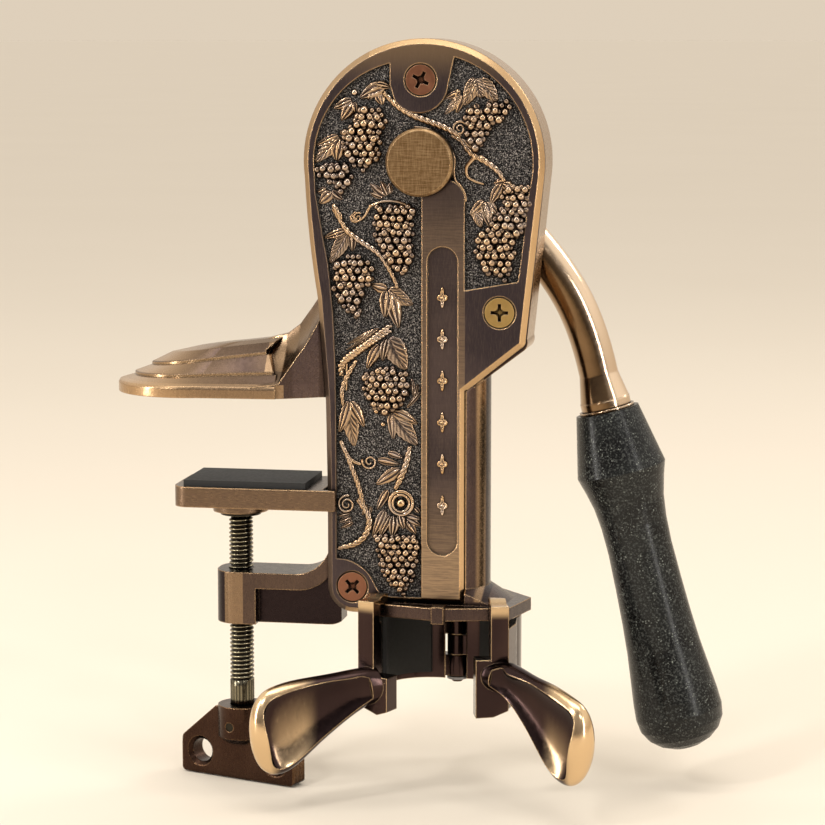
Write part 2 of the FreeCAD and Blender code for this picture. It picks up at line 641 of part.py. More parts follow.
def pierce(body, name, holes):
    """Round holes through a flat link, (distance along it, radius)."""
    sk = new_sketch(body, name + "_sketch")
    for n, (at, radius) in enumerate(holes):
        sk.addGeometry(Part.Circle(Vector(at, 0, 0), Vector(0, 0, 1), radius if not isinstance(radius, tuple) else radius[0]), False)
        c = sk.addConstraint(Sketcher.Constraint("Radius", n, radius if not isinstance(radius, tuple) else radius[0]))
        if isinstance(radius, tuple):
            sk.setExpression("Constraints[%d]" % c, radius[1])
        sk.addConstraint(Sketcher.Constraint("PointOnObject", n, 3, -1))
        if at:
            sk.addConstraint(Sketcher.Constraint("DistanceX", -1, 1, n, 3, at))
        else:
            sk.addConstraint(Sketcher.Constraint("PointOnObject", n, 3, -2))
    before = body.Shape.Volume
    pk = body.newObject("PartDesign::Pocket", name)
    pk.Profile = sk
    pk.Type = "ThroughAll"
    doc.recompute()
    if not pk.Shape.Volume < before - 1e-3:
        pk.Reversed = True
        doc.recompute()
    if not pk.Shape.Volume < before - 1e-3:
        raise RuntimeError(name + " cuts nothing")


crank = link("crank_arm", throw, 9.5, 4.5, 8.4, -5.8, -2.8, P["pivot_x"], P["pivot_z"], REST)
pierce(crank, "crank_eyes", [(0.0, 1.62)])
crank.Label = "crank_arm"
NODES.append(crank)

turned("crank_screw", [(0.0, 0.0), (1.58, 0.0), (1.58, 12.2), (0.0, 12.2)],
       X_OF + "Params.pivot_x", 6.5, "Params.pivot_z", (0, -1, 0))

rod = link("con_rod", P["rod_length"], 5.5, 4.5, P["rod_width"], -9.2, -6.2, P["bottle_x"], wrist_z, 90.0 + tilt)
pierce(rod, "rod_eyes", [(0.0, (P["wrist_radius"] + 0.06, "Params.wrist_radius + 0.06")), (P["rod_length"], (P["pin_radius"], "Params.pin_radius + 0.0"))])
rod.Label = "con_rod"
NODES.append(rod)

turned("crank_pin", [(0.0, 0.0), (V("pin_radius"), 0.0), (V("pin_radius"), 3.2), (0.0, 3.2)],
       P["foot_offset"] + pin_x, -9.3, pin_z, (0, 1, 0))
turned("wrist_pin", [(0.0, 0.0), (V("wrist_radius"), 0.0), (V("wrist_radius"), 5.9), (0.0, 5.9)],
       X_OF + "Params.bottle_x", -9.3, wrist_z, (0, 1, 0))

# lever arm: a hub on the shaft and a bar that bends down to the grip
lp = P["lever_plane"]
hub = cylinder("lever_hub", "Params.hub_radius", "Params.hub_width", "Params.pivot_x", "Params.lever_plane - Params.hub_width / 2 - 0.2", "Params.pivot_z", (0, 1, 0))
grip_dir = Vector(0.2404, 0.0, -0.9707)
grip_top = Vector(86.5, lp, -5.4)
arm_points = [Vector(30.5, lp, 75.0), Vector(49.8, lp, 60.6), Vector(66.0, lp, 43.6), Vector(75.5, lp, 29.6), Vector(82.0, lp, 12.8), grip_top - grip_dir * 5.0]
curve = Part.BSplineCurve()
curve.interpolate(Points=arm_points, InitialTangent=Vector(0.80, 0, -0.60), FinalTangent=grip_dir)
spine = doc.addObject("Part::Feature", "lever_spine")
spine.Shape = Part.Wire([curve.toShape()])
ring = doc.addObject("Sketcher::SketchObject", "lever_section")
ring.addGeometry(Part.Circle(Vector(0, 0, 0), Vector(0, 0, 1), P["arm_radius"]), False)
c = ring.addConstraint(Sketcher.Constraint("Radius", 0, P["arm_radius"]))
ring.setExpression("Constraints[%d]" % c, "Params.arm_radius")
ring.Placement = Placement(arm_points[0], Rotation(Vector(0, 0, 1), Vector(0.80, 0, -0.60)))
bar = doc.addObject("Part::Sweep", "lever_bar")
bar.Sections = [ring]
bar.Spine = (spine, [])
bar.Solid = True
bar.Frenet = False
flare_at = grip_top - grip_dir * 12.0
flare = cone("lever_flare", "Params.arm_radius", 8.0, 8.5, flare_at.x, flare_at.y, flare_at.z, tuple(grip_dir))
collar_at = grip_top - grip_dir * 3.6
collar = cylinder("lever_collar", 8.1, 2.6, collar_at.x, collar_at.y, collar_at.z, tuple(grip_dir))
hub_hole = cylinder("hub_hole", "Params.shaft_radius + 0.02", 40.0, "Params.pivot_x", 0.0, "Params.pivot_z", (0, 1, 0))
stud_hole_at = grip_top - grip_dir * 9.0
stud_hole = cylinder("lever_stud_hole", "Params.stud_radius + 0.02", 12.0, stud_hole_at.x, stud_hole_at.y, stud_hole_at.z, tuple(grip_dir))
node(cut("lever_arm_casting", fuse("lever_blank", hub, bar, flare, collar), fuse("lever_holes", hub_hole, stud_hole)), "lever_arm")

turned("lever_washer", [(4.1, 0.0), (9.0, 0.0), (9.0, 1.2), (4.1, 1.2)],
       X_OF + "Params.pivot_x", "Params.lever_plane + Params.hub_width / 2 - 0.15", "Params.pivot_z", (0, 1, 0))
turned("lever_nut", [(0.0, 7.4), (4.02, 7.4), (4.02, 0.0), (7.4, 0.0), (7.4, 5.6), (5.6, 8.2), (3.0, 9.6), (0.0, 10.1)],
       X_OF + "Params.pivot_x", "Params.lever_plane + Params.hub_width / 2 + 1.1", "Params.pivot_z", (0, 1, 0))

gx, gz = P["foot_offset"] + grip_top.x, grip_top.z
gdir = (grip_dir.x, 0.0, grip_dir.z)


def along(s):
    return P["foot_offset"] + grip_top.x + grip_dir.x * s, lp, grip_top.z + grip_dir.z * s


turned("grip_washer", [(4.0, 0.0), (8.9, 0.0), (8.9, 0.9), (4.0, 0.9)], *along(-0.95), axis=gdir)
turned("grip_stud", [(0.0, 0.0), (V("stud_radius"), 0.0), (V("stud_radius"), 78.0), (0.0, 78.0)], *along(-8.8), axis=gdir)
turned("handle_grip", [
    ((P["grip_bore_radius"], "Params.grip_bore_radius"), 0.0), (V("grip_top_radius"), 0.0), (V("grip_shoulder_radius"), 19.7), (13.0, 24.5), (11.5, 30.5), (10.7, 37.5),
    (V("grip_waist_radius"), 46.0), (10.8, 58.0), (11.3, 69.0), (12.0, 79.0), (13.1, 89.0), (13.9, 96.0), (V("grip_end_radius"), 101.0),
    (13.6, 105.0), (11.6, 108.4), (8.6, 110.9), (5.0, 112.5), (2.0, 113.1), (0.0, V("grip_length")), (0.0, 69.8), ((P["grip_bore_radius"], "Params.grip_bore_radius"), 69.8),
], *along(0.0), axis=gdir)

stops = doc.addObject("Part::Compound", "lever_stops_group")
stops.Links = [cylinder("lever_stop_%d" % (n + 1), 2.2, 11.8, sx, -5.8, sz, (0, 1, 0)) for n, (sx, sz) in enumerate([(31.84, 89.45), (41.50, 65.53)])]
node(stops, "lever_stops")

# ---------------------------------------------------------------- carriage, worm and nut
car = cylinder("carriage_blank", "Params.carriage_radius", "Params.carriage_height", "Params.bottle_x", 0.0, "Params.carriage_bottom")
car_front = block("carriage_front", 30.0, 10.0, 40.0, 22.0, "Params.carriage_flat - 10", 0.0)
car_hole = cylinder("carriage_hole", "Params.worm_shank_radius + 0.06", 40.0, "Params.bottle_x", 0.0, 0.0)
car_pin = cylinder("carriage_pin_hole", "Params.wrist_radius + 0.02", 3.6, "Params.bottle_x", -7.0, wrist_z, (0, 1, 0))
car_rest = cylinder("carriage_relief", 5.4, 3.0, "Params.bottle_x", 0.0, 26.6)
node(cut("carriage_block", car, fuse("carriage_tools", car_front, car_hole, car_pin, car_rest)), "carriage")

turn_count, wire_reach = P["worm_turns"], P["worm_coil_radius"]
wire_points = []
for i in range(int(turn_count * 16) + 1):
    a = 2 * math.pi * i / 16
    wire_points.append(Vector(wire_reach * math.cos(a), wire_reach * math.sin(a), P["worm_pitch"] * (i / 16 - turn_count)))
for share, turn, z in ((0.80, 0.7, 1.4), (0.35, 1.3, 3.0), (0.0, 0.0, 5.2), (0.0, 0.0, 7.0)):  # the wire turns in to the shank
    wire_points.append(Vector(wire_reach * share * math.cos(a + turn), wire_reach * share * math.sin(a + turn), z))
wire_curve = Part.BSplineCurve()
wire_curve.interpolate(Points=wire_points)
worm_spine = doc.addObject("Part::Feature", "worm_spine")
worm_spine.Shape = Part.Wire([wire_curve.toShape()])
wire_start = wire_points[0]
wire_dir = Vector(*wire_curve.tangent(wire_curve.FirstParameter)[0])
wire_ring = doc.addObject("Sketcher::SketchObject", "worm_wire")
wire_ring.addGeometry(Part.Circle(Vector(0, 0, 0), Vector(0, 0, 1), P["worm_wire_radius"]), False)
c = wire_ring.addConstraint(Sketcher.Constraint("Radius", 0, P["worm_wire_radius"]))
wire_ring.setExpression("Constraints[%d]" % c, "Params.worm_wire_radius")
wire_ring.Placement = Placement(wire_start, Rotation(Vector(0, 0, 1), wire_dir))
coil = doc.addObject("Part::Sweep", "worm_coil")
coil.Sections = [wire_ring]
coil.Spine = (worm_spine, [])
coil.Solid = True
coil.Frenet = False
tip = cone("worm_tip", 0.4, "Params.worm_wire_radius", 2.4, *(tuple(wire_start - wire_dir * 2.4) + (tuple(wire_dir),)))
shank = cylinder("worm_shank", "Params.worm_shank_radius", 25.0, 0.0, 0.0, 5.5)
worm_collar = cylinder("worm_collar", 5.0, 2.5, 0.0, 0.0, 8.5)
worm = fuse("worm_forging", coil, tip, shank, worm_collar)
worm.Label = "worm"
put(worm, X_OF + "Params.bottle_x", 0.0, 0.0)
NODES.append(worm)

turned("thrust_washer", [(3.05, 0.0), (6.4, 0.0), (6.4, 0.9), (3.05, 0.9)], X_OF + "Params.bottle_x", 0.0, 11.04)
turned("worm_clip", [(3.02, 0.0), (4.8, 0.0), (4.8, 1.0), (3.02, 1.0)], X_OF + "Params.bottle_x", 0.0, 26.7)
nut = cut("worm_nut_blank", cylinder("nut_outer", "Params.nut_radius - 0.02", 8.8, 0.0, 0.0, -63.4),
          fuse("nut_tools", cylinder("nut_bore", 5.2, 12.0, 0.0, 0.0, -65.0), cylinder("nut_guide_hole", 1.52, 8.0, 0.0, 4.0, "Params.guide_z", (0, 1, 0))))
nut.Label = "worm_nut"
put(nut, X_OF + "Params.bottle_x", 0.0, 0.0)
NODES.append(nut)
turned("guide_screw", [(0.0, 0.0), (1.1, 0.0), (1.1, 1.4), (1.5, 1.8), (1.5, 10.6), (0.0, 10.6)],
       X_OF + "Params.bottle_x", 4.0, "Params.guide_z", (0, 1, 0))

# ---------------------------------------------------------------- bottle jaws, drawn shut about the hinge pin, then swung open
neck_y = -P["hinge_y"]
handle_dir = Vector(0.615, -0.788, 0)


# the two jaws carry their levers at different heights; sections run from the root to the tip
FRONT_BLOCK = {
    -1: [(0.4, -87.4), (0.4, -98.4), (4.0, -99.6), (10.8, -97.0), (10.8, -87.4)],
    1: [(0.4, -80.2), (0.4, -98.8), (6.0, -98.6), (10.8, -96.6), (10.8, -80.2)],
}
PADDLE = {  # distance out, height, half height, half thickness
    -1: [(-3.0, -90.3, 5.8, 4.4), (4.0, -91.0, 6.6, 4.4), (12.0, -93.8, 8.6, 4.6), (22.0, -97.8, 11.8, 5.2),
         (30.0, -101.4, 13.8, 5.6), (35.0, -103.4, 12.8, 5.4), (38.0, -105.0, 9.4, 4.4), (39.3, -105.9, 5.6, 2.8), (39.8, -106.3, 2.4, 1.1)],
    1: [(-3.0, -85.0, 4.8, 4.2), (4.0, -85.4, 5.3, 4.2), (8.0, -86.5, 6.0, 4.4), (16.0, -91.0, 8.4, 4.8), (22.0, -94.9, 11.2, 5.2),
        (30.0, -99.9, 13.7, 5.6), (35.0, -101.8, 12.9, 5.4), (38.0, -103.2, 9.6, 4.4), (39.3, -104.0, 5.8, 2.8), (39.8, -104.4, 2.4, 1.1)],
}
DISH = {
    -1: [(1.0, -90.6, 4.2, 1.2, 4.3), (5.0, -91.4, 5.6, 2.4, 4.3), (12.0, -93.9, 7.9, 3.3, 4.4), (22.0, -98.0, 11.1, 4.0, 4.9),
         (30.0, -101.8, 12.9, 4.3, 5.1), (33.6, -103.2, 12.2, 4.2, 5.1), (35.4, -104.0, 9.6, 3.7, 5.0), (36.0, -104.3, 6.0, 2.6, 5.0)],
    1: [(1.0, -85.3, 3.6, 1.2, 4.2), (6.0, -86.2, 4.9, 2.4, 4.3), (14.0, -90.0, 7.2, 3.4, 4.6), (22.0, -95.1, 10.5, 4.0, 4.9),
        (30.0, -100.2, 12.8, 4.3, 5.1), (33.6, -101.6, 12.2, 4.2, 5.1), (35.4, -102.3, 9.6, 3.7, 5.0), (36.0, -102.6, 6.0, 2.6, 5.0)],
}


def jaw(name, side, angle, knuckles):
    """side is -1 for the left jaw and +1 for the right."""
    height = P["jaw_top"] - P["jaw_bottom"]

    def plan(tag, points, low, high):
        return prism(name + tag, [("p", side * x, y - 2.0) for x, y in points], low, high, "top")

    outer_ring = cylinder(name + "_outer", "Params.neck_radius + Params.jaw_wall", "Params.jaw_top - Params.jaw_bottom", 0.0, neck_y, "Params.jaw_bottom")
    inner_ring = cylinder(name + "_inner", "Params.neck_radius", height + 2, 0.0, neck_y, P["jaw_bottom"] - 1)
    sector = plan("_sector", [(2.2, 10.0), (30.0, 10.0), (30.0, -36.1), (2.2, neck_y + 2)], "Params.jaw_bottom", "Params.jaw_top")
    relief = cylinder(name + "_relief", 4.3, height + 2, 0.0, 0.0, P["jaw_bottom"] - 1)
    shell_part = common(name + "_shell", cut(name + "_ring", outer_ring, fuse(name + "_ring_tools", inner_ring, relief)), sector)
    cheek = plan("_cheek", [(15.9, -26.0), (13.0, -24.9), (12.6, -25.6), (8.6, -36.0), (5.2, -38.8), (5.2, -44.0), (10.8, -44.0), (14.2, -36.0)], "Params.jaw_bottom", "Params.jaw_top")
    strap = plan("_strap", [(10.8, -44.0), (5.2, -44.0), (5.2, -39.7), (10.8, -39.7)], -96.0, -63.2)
    lip = plan("_lip", [(10.6, -43.2), (5.4, -43.2), (5.4, -34.2), (10.6, -36.1)], -65.0, -62.0)
    lip_round = common(name + "_hook", lip, cylinder(name + "_hook_round", 9.0, 12.0, side * 2.0, -37.2, -70.8, (side, 0, 0)))
    face = prism(name + "_front_block", [("p", side * x, z) for x, z in FRONT_BLOCK[side]], -46.0, -39.5)
    d = Vector(handle_dir.x * side, handle_dir.y, 0)
    n = Vector(0, 0, 1).cross(d)
    lean = math.radians(11)
    top = Vector(0, 0, math.cos(lean)) + d * math.sin(lean)
    way = d * math.cos(lean) - Vector(0, 0, math.sin(lean))
    inner = Vector(-side * 0.788, -0.615, 0)

    def ring(tag, s_at, z_at, major, minor, out):
        e = doc.addObject("Part::Ellipse", name + tag)
        e.MajorRadius = major
        e.MinorRadius = minor
        e.Placement = Placement(Vector(side * 6.7, -45.5, z_at) + d * s_at + inner * out, Rotation(top, n, way, "ZXY"))
        return e

    paddle_blank = loft(name + "_paddle_blank", [ring("_paddle_%d" % k, *r, 0.0) for k, r in enumerate(PADDLE[side])], False)
    dish = loft(name + "_dish", [ring("_dish_%d" % k, *r) for k, r in enumerate(DISH[side])], False)
    paddle = cut(name + "_paddle", paddle_blank, dish)
    web_trim = cylinder(name + "_web_trim", "Params.neck_radius + 0.3", height + 2, 0.0, neck_y, P["jaw_bottom"] - 1)
    eyes = []
    for k, (low, high) in enumerate(knuckles):
        eyes.append(cylinder("%s_knuckle_%d" % (name, k), "Params.knuckle_radius", high - low, 0.0, 0.0, low))
        eyes.append(cut("%s_web_%d" % (name, k), plan("_web_block_%d" % k, [(1.2, -1.2), (7.8, -1.2), (7.8, 1.6), (5.2, 3.4), (1.2, 4.6)], low, high), web_trim))
    pin_hole = cylinder(name + "_pin_hole", "Params.hinge_pin_radius + 0.06", 40.0, 0.0, 0.0, -100.0)
    made = cut(name + "_casting", fuse(name + "_solid", shell_part, cheek, strap, lip_round, face, paddle, *eyes), pin_hole)
    made.Label = name
    put(made, X_OF + "Params.hinge_x", "Params.hinge_y", 0.0, Rotation(Vector(0, 0, 1), angle))
    made.setExpression("Placement.Rotation.Angle", ("-" if angle < 0 else "") + "Params." + name.split("_")[0] + "_open")
    NODES.append(made)
    lining = cut(name + "_lining_ring", cylinder(name + "_lining_outer", "Params.neck_radius - 0.02", 21.6, 0.0, neck_y, -94.0),
                 cylinder(name + "_lining_inner", "Params.neck_radius - Params.pad_thick", 30.0, 0.0, neck_y, -98.0))
    wedge = plan("_lining_wedge", [(5.0, neck_y + 2), (7.6, 4.0), (30.0, 4.0), (30.0, -31.0)], -97.0, -70.0)
    liner = common(name + "_lining", lining, wedge)
    liner.Label = name.split("_")[0] + "_grip_pad"
    put(liner, X_OF + "Params.hinge_x", "Params.hinge_y", 0.0, Rotation(Vector(0, 0, 1), angle))
    liner.setExpression("Placement.Rotation.Angle", ("-" if angle < 0 else "") + "Params." + name.split("_")[0] + "_open")
    NODES.append(liner)


jaw("left_jaw", -1, -P["left_open"], [(-81.2, -75.0), (-95.2, -88.2)])
jaw("right_jaw", 1, P["right_open"], [(-88.0, -81.4)])
turned("hinge_pin", [(0.0, 0.0), (1.6, 0.0), (V("hinge_pin_radius"), 0.5), (V("hinge_pin_radius"), 31.1), (0.0, 31.1)],
       X_OF + "Params.hinge_x", "Params.hinge_y", -97.3)
turned("hinge_clip", [(2.02, 0.0), (3.4, 0.0), (3.4, 0.9), (2.02, 0.9)], X_OF + "Params.hinge_x", "Params.hinge_y", -96.3)

# ---------------------------------------------------------------- clamp
plate = prism("clamp_plate_blank", [
    ("p", -46.0, -15.0), ("p", 2.2, -15.0), ("a", 2.9, -14.8, 3.2, -14.2), ("p", 3.2, -13.2), ("p", -1.4, -12.9), ("p", -1.4, 9.7),
    ("p", 3.2, 9.7), ("p", 3.2, 13.8), ("a", 2.9, 14.6, 2.0, 15.0), ("p", -46.0, 15.0), ("a", -49.2, 13.2, -50.5, 10.0), ("p", -50.5, -10.0), ("a", -49.2, -13.2, -46.0, -15.0),
], "Params.plate_top - Params.plate_thick", "Params.plate_top", "top")
plate_hole = cylinder("plate_hole", 3.06, 20.0, "Params.clamp_x", 0.0, -45.0)
plate_well = cylinder("plate_well", 6.2, 4.0, "Params.clamp_x", 0.0, -31.6)
plate_boss = cylinder("plate_boss", 9.0, 3.2, "Params.clamp_x", 0.0, -39.0)
node(cut("clamp_plate_casting", fuse("clamp_plate_solid", plate, plate_boss), fuse("clamp_plate_tools", plate_hole, plate_well)), "clamp_plate")
node(prism("clamp_pad_sheet", [("p", -47.0, -13.0), ("p", -7.0, -13.0), ("p", -7.0, 13.0), ("p", -47.0, 13.0)], "Params.plate_top", "Params.plate_top + Params.clamp_pad_thick", "top"), "clamp_pad")

screw_body = turned("clamp_screw", [
    (0.0, 0.0), (3.4, 0.0), (V("thread_radius"), 0.7), (V("thread_radius"), 72.5), (3.0, 73.3), (3.0, 83.2), (0.0, 83.2),
], X_OF + "Params.clamp_x", 0.0, -113.5, spin=-P["wing_turn"])
cross = new_sketch(screw_body, "clamp_screw_cross_sketch")
cross.addGeometry(Part.Circle(Vector(0, 3.5, 0), Vector(0, 0, 1), 1.52), False)
cross.addConstraint(Sketcher.Constraint("Block", 0))
cross_cut = screw_body.newObject("PartDesign::Pocket", "clamp_screw_cross")
cross_cut.Profile = cross
cross_cut.Type = "ThroughAll"
cross_cut.Midplane = True
turned("screw_end_clip", [(3.02, 0.0), (5.4, 0.0), (5.4, 0.9), (3.02, 0.9)], X_OF + "Params.clamp_x", 0.0, -31.5)
turned("screw_washer", [(3.1, 0.0), (6.6, 0.0), (6.6, 1.1), (3.1, 1.1)], X_OF + "Params.clamp_x", 0.0, -40.18)

knob_boss = cylinder("knob_boss", "Params.knob_radius", "Params.knob_height - 2", 0.0, 0.0, "Params.knob_top - Params.knob_height + 2")
knob_foot = cone("knob_foot", 5.5, "Params.knob_radius", 2.0, 0.0, 0.0, "Params.knob_top - Params.knob_height")
wing = prism("knob_wing", [
    ("p", -8.4, -104.6), ("p", -20.8, -115.2), ("a", -21.6, -116.2, -21.8, -117.4), ("p", -21.8, -126.4), ("a", -21.4, -127.6, -20.2, -128.0),
    ("p", 20.2, -128.0), ("a", 21.4, -127.6, 21.8, -126.4), ("p", 21.8, -117.4), ("a", 21.6, -116.2, 20.8, -115.2), ("p", 8.4, -104.6),
], "-Params.wing_thick / 2", "Params.wing_thick / 2")
knob_bore = cylinder("knob_bore", "Params.thread_radius + 0.02", 14.0, 0.0, 0.0, -113.6)
knob_tools = [knob_bore, cylinder("knob_cross_hole", 1.52, 20.0, 0.0, -10.0, -110.0, (0, 1, 0))]
for k, hole_at in enumerate((-14.6, 14.6)):
    knob_tools.append(cylinder("knob_hole_%d" % k, 3.9, 10.0, hole_at, -5.0, -120.6, (0, 1, 0)))
    knob_tools.append(cone("knob_sink_%d" % k, 5.2, 3.7, 1.5, hole_at, -3.5, -120.6, (0, 1, 0)))
knob = cut("clamp_knob_casting", fuse("clamp_knob_solid", knob_boss, knob_foot, wing), fuse("clamp_knob_tools", *knob_tools))
knob.Label = "clamp_knob"
put(knob, X_OF + "Params.clamp_x", 0.0, 0.0, Rotation(Vector(0, 0, 1), -P["wing_turn"]))
knob.setExpression("Placement.Rotation.Angle", "-Params.wing_turn")
NODES.append(knob)
cross_pin = cylinder("knob_pin_rod", 1.5, 15.4, 0.0, -7.7, 0.0, (0, 1, 0))
pin_holder = doc.addObject("Part::Compound", "knob_pin_group")
pin_holder.Links = [cross_pin]
pin_holder.Label = "knob_pin"
put(pin_holder, X_OF + "Params.clamp_x", 0.0, -110.0, Rotation(Vector(0, 0, 1), -P["wing_turn"]))
NODES.append(pin_holder)

# ---------------------------------------------------------------- check and write
doc.recompute()
bad = [o.Name for o in doc.Objects if "Invalid" in o.State or "Error" in o.State]
if bad:
    raise RuntimeError("failed objects: %s" % bad)
os.makedirs("parts", exist_ok=True)
for o in NODES:
    shape = o.Shape
    if shape.isNull() or not shape.isValid() or not shape.Solids or shape.Volume <= 0:
        raise RuntimeError("bad shape: " + o.Label)
    b = shape.BoundBox
    print("%-18s solids %d volume %10.1f  x %.1f %.1f  y %.1f %.1f  z %.1f %.1f" % (
        o.Label, len(shape.Solids), shape.Volume, b.XMin, b.XMax, b.YMin, b.YMax, b.ZMin, b.ZMax))
    shape.exportStep("parts/%s.step" % o.Label)
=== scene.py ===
import math
import random

import bpy
import numpy as np
from mathutils import Matrix, Vector


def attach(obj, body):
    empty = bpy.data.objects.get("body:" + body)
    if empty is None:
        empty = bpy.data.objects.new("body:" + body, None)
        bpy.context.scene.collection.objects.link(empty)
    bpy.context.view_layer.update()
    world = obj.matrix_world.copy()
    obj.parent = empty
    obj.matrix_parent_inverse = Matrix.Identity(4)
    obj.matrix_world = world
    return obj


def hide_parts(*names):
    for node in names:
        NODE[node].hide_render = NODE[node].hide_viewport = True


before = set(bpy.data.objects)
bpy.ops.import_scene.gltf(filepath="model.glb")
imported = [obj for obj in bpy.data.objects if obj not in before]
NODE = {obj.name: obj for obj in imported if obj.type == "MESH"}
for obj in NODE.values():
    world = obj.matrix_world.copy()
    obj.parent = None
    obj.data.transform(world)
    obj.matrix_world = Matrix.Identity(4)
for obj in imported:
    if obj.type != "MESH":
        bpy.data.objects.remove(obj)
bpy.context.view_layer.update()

# Lengths below are in millimetres from the body's left edge at counter height, as in the CAD source.
MM = 0.001
SHIFT = 36.0
GROUND = -11.4  # the cover's stippled ground
FACE = -12.7  # the cover's flat front


def W(x, y, z):
    return Vector(((x + SHIFT) * MM, y * MM, z * MM))


# ---------------------------------------------------------------- camera
AZ, EL = math.radians(10.3), math.radians(7.8)
FOCAL, MIDDLE = 2800.0, 412.5
EYE = Vector((184.50, -874.88, 116.17))
RIGHT = Vector((math.cos(AZ), math.sin(AZ), 0.0))
BACK = Vector((math.sin(AZ) * math.cos(EL), -math.cos(AZ) * math.cos(EL), math.sin(EL)))
UP = BACK.cross(RIGHT)

cam_data = bpy.data.cameras.new("camera")
cam_data.sensor_width = 36.0
cam_data.lens = FOCAL / 825.0 * 36.0
cam_data.clip_start, cam_data.clip_end = 0.05, 200.0
cam = bpy.data.objects.new("camera", cam_data)
bpy.context.scene.collection.objects.link(cam)
cam.matrix_world = Matrix((
    (RIGHT.x, UP.x, BACK.x, (EYE.x + SHIFT) * MM),
    (RIGHT.y, UP.y, BACK.y, EYE.y * MM),
    (RIGHT.z, UP.z, BACK.z, EYE.z * MM),
    (0, 0, 0, 1),
))
bpy.context.scene.camera = cam


def seen(px, py, y):
    """(x, z) where the photograph's pixel meets the upright plane at y."""
    d = RIGHT * ((px - MIDDLE) / FOCAL) + UP * ((MIDDLE - py) / FOCAL) - BACK
    t = (y - EYE.y) / d.y
    return EYE.x + t * d.x, EYE.z + t * d.z


# ---------------------------------------------------------------- shader helpers
def nd(t, kind, ins=None, **props):
    n = t.nodes.new("ShaderNode" + kind)
    for k, v in props.items():
        setattr(n, k, v)
    for k, v in (ins or {}).items():
        if isinstance(v, bpy.types.NodeSocket):
            t.links.new(v, n.inputs[k])
        else:
            n.inputs[k].default_value = v
    return n


def calc(t, op, a, b=0.0, clamp=False):
    n = nd(t, "Math", {0: a, 1: b}, operation=op)
    n.use_clamp = clamp
    return n.outputs[0]


def mixc(t, f, a, b, kind="MIX"):
    n = nd(t, "Mix", data_type="RGBA", blend_type=kind, clamp_factor=True)
    for i, v in ((0, f), (6, a), (7, b)):
        if isinstance(v, bpy.types.NodeSocket):
            t.links.new(v, n.inputs[i])
        else:
            n.inputs[i].default_value = v if i == 0 else tuple(v) + (1.0,)
    return n.outputs[2]


def span(t, v, a, b, lo=0.0, hi=1.0, smooth=True):
    n = nd(t, "MapRange", {0: v, 1: a, 2: b, 3: lo, 4: hi}, interpolation_type="SMOOTHSTEP" if smooth else "LINEAR")
    return n.outputs[0]


def noise(t, vec, scale, detail=3.0, rough=0.55, distort=0.0):
    return nd(t, "TexNoise", {"Vector": vec, "Scale": scale, "Detail": detail, "Roughness": rough, "Distortion": distort}).outputs["Fac"]


def stretch(t, vec, scale, turn=(0.0, 0.0, 0.0)):
    return nd(t, "Mapping", {"Vector": vec, "Rotation": turn, "Scale": scale}).outputs[0]


def start(name):
    m = bpy.data.materials.new(name)
    m.use_nodes = True
    t = m.node_tree
    t.nodes.clear()
    out = nd(t, "OutputMaterial")
    b = nd(t, "BsdfPrincipled")
    t.links.new(b.outputs[0], out.inputs[0])
    return m, t, b, nd(t, "TexCoord").outputs["Object"]


def edges(t, radius, low=0.03, high=0.20):
    """How convex the surface is here, 0 to 1, how open it is, and a normal with softened edges."""
    bev = nd(t, "Bevel", {"Radius": radius * MM}, samples=6).outputs[0]
    geo = nd(t, "NewGeometry").outputs["Normal"]
    dot = nd(t, "VectorMath", {0: bev, 1: geo}, operation="DOT_PRODUCT").outputs["Value"]
    edge = span(t, calc(t, "SUBTRACT", 1.0, dot), low, high)
    ao = nd(t, "AmbientOcclusion", {"Distance": 2.2 * MM}, samples=6, only_local=False).outputs["AO"]
    open_ = span(t, ao, 0.45, 0.9)
    return calc(t, "MULTIPLY", edge, span(t, ao, 0.60, 0.85)), open_, bev


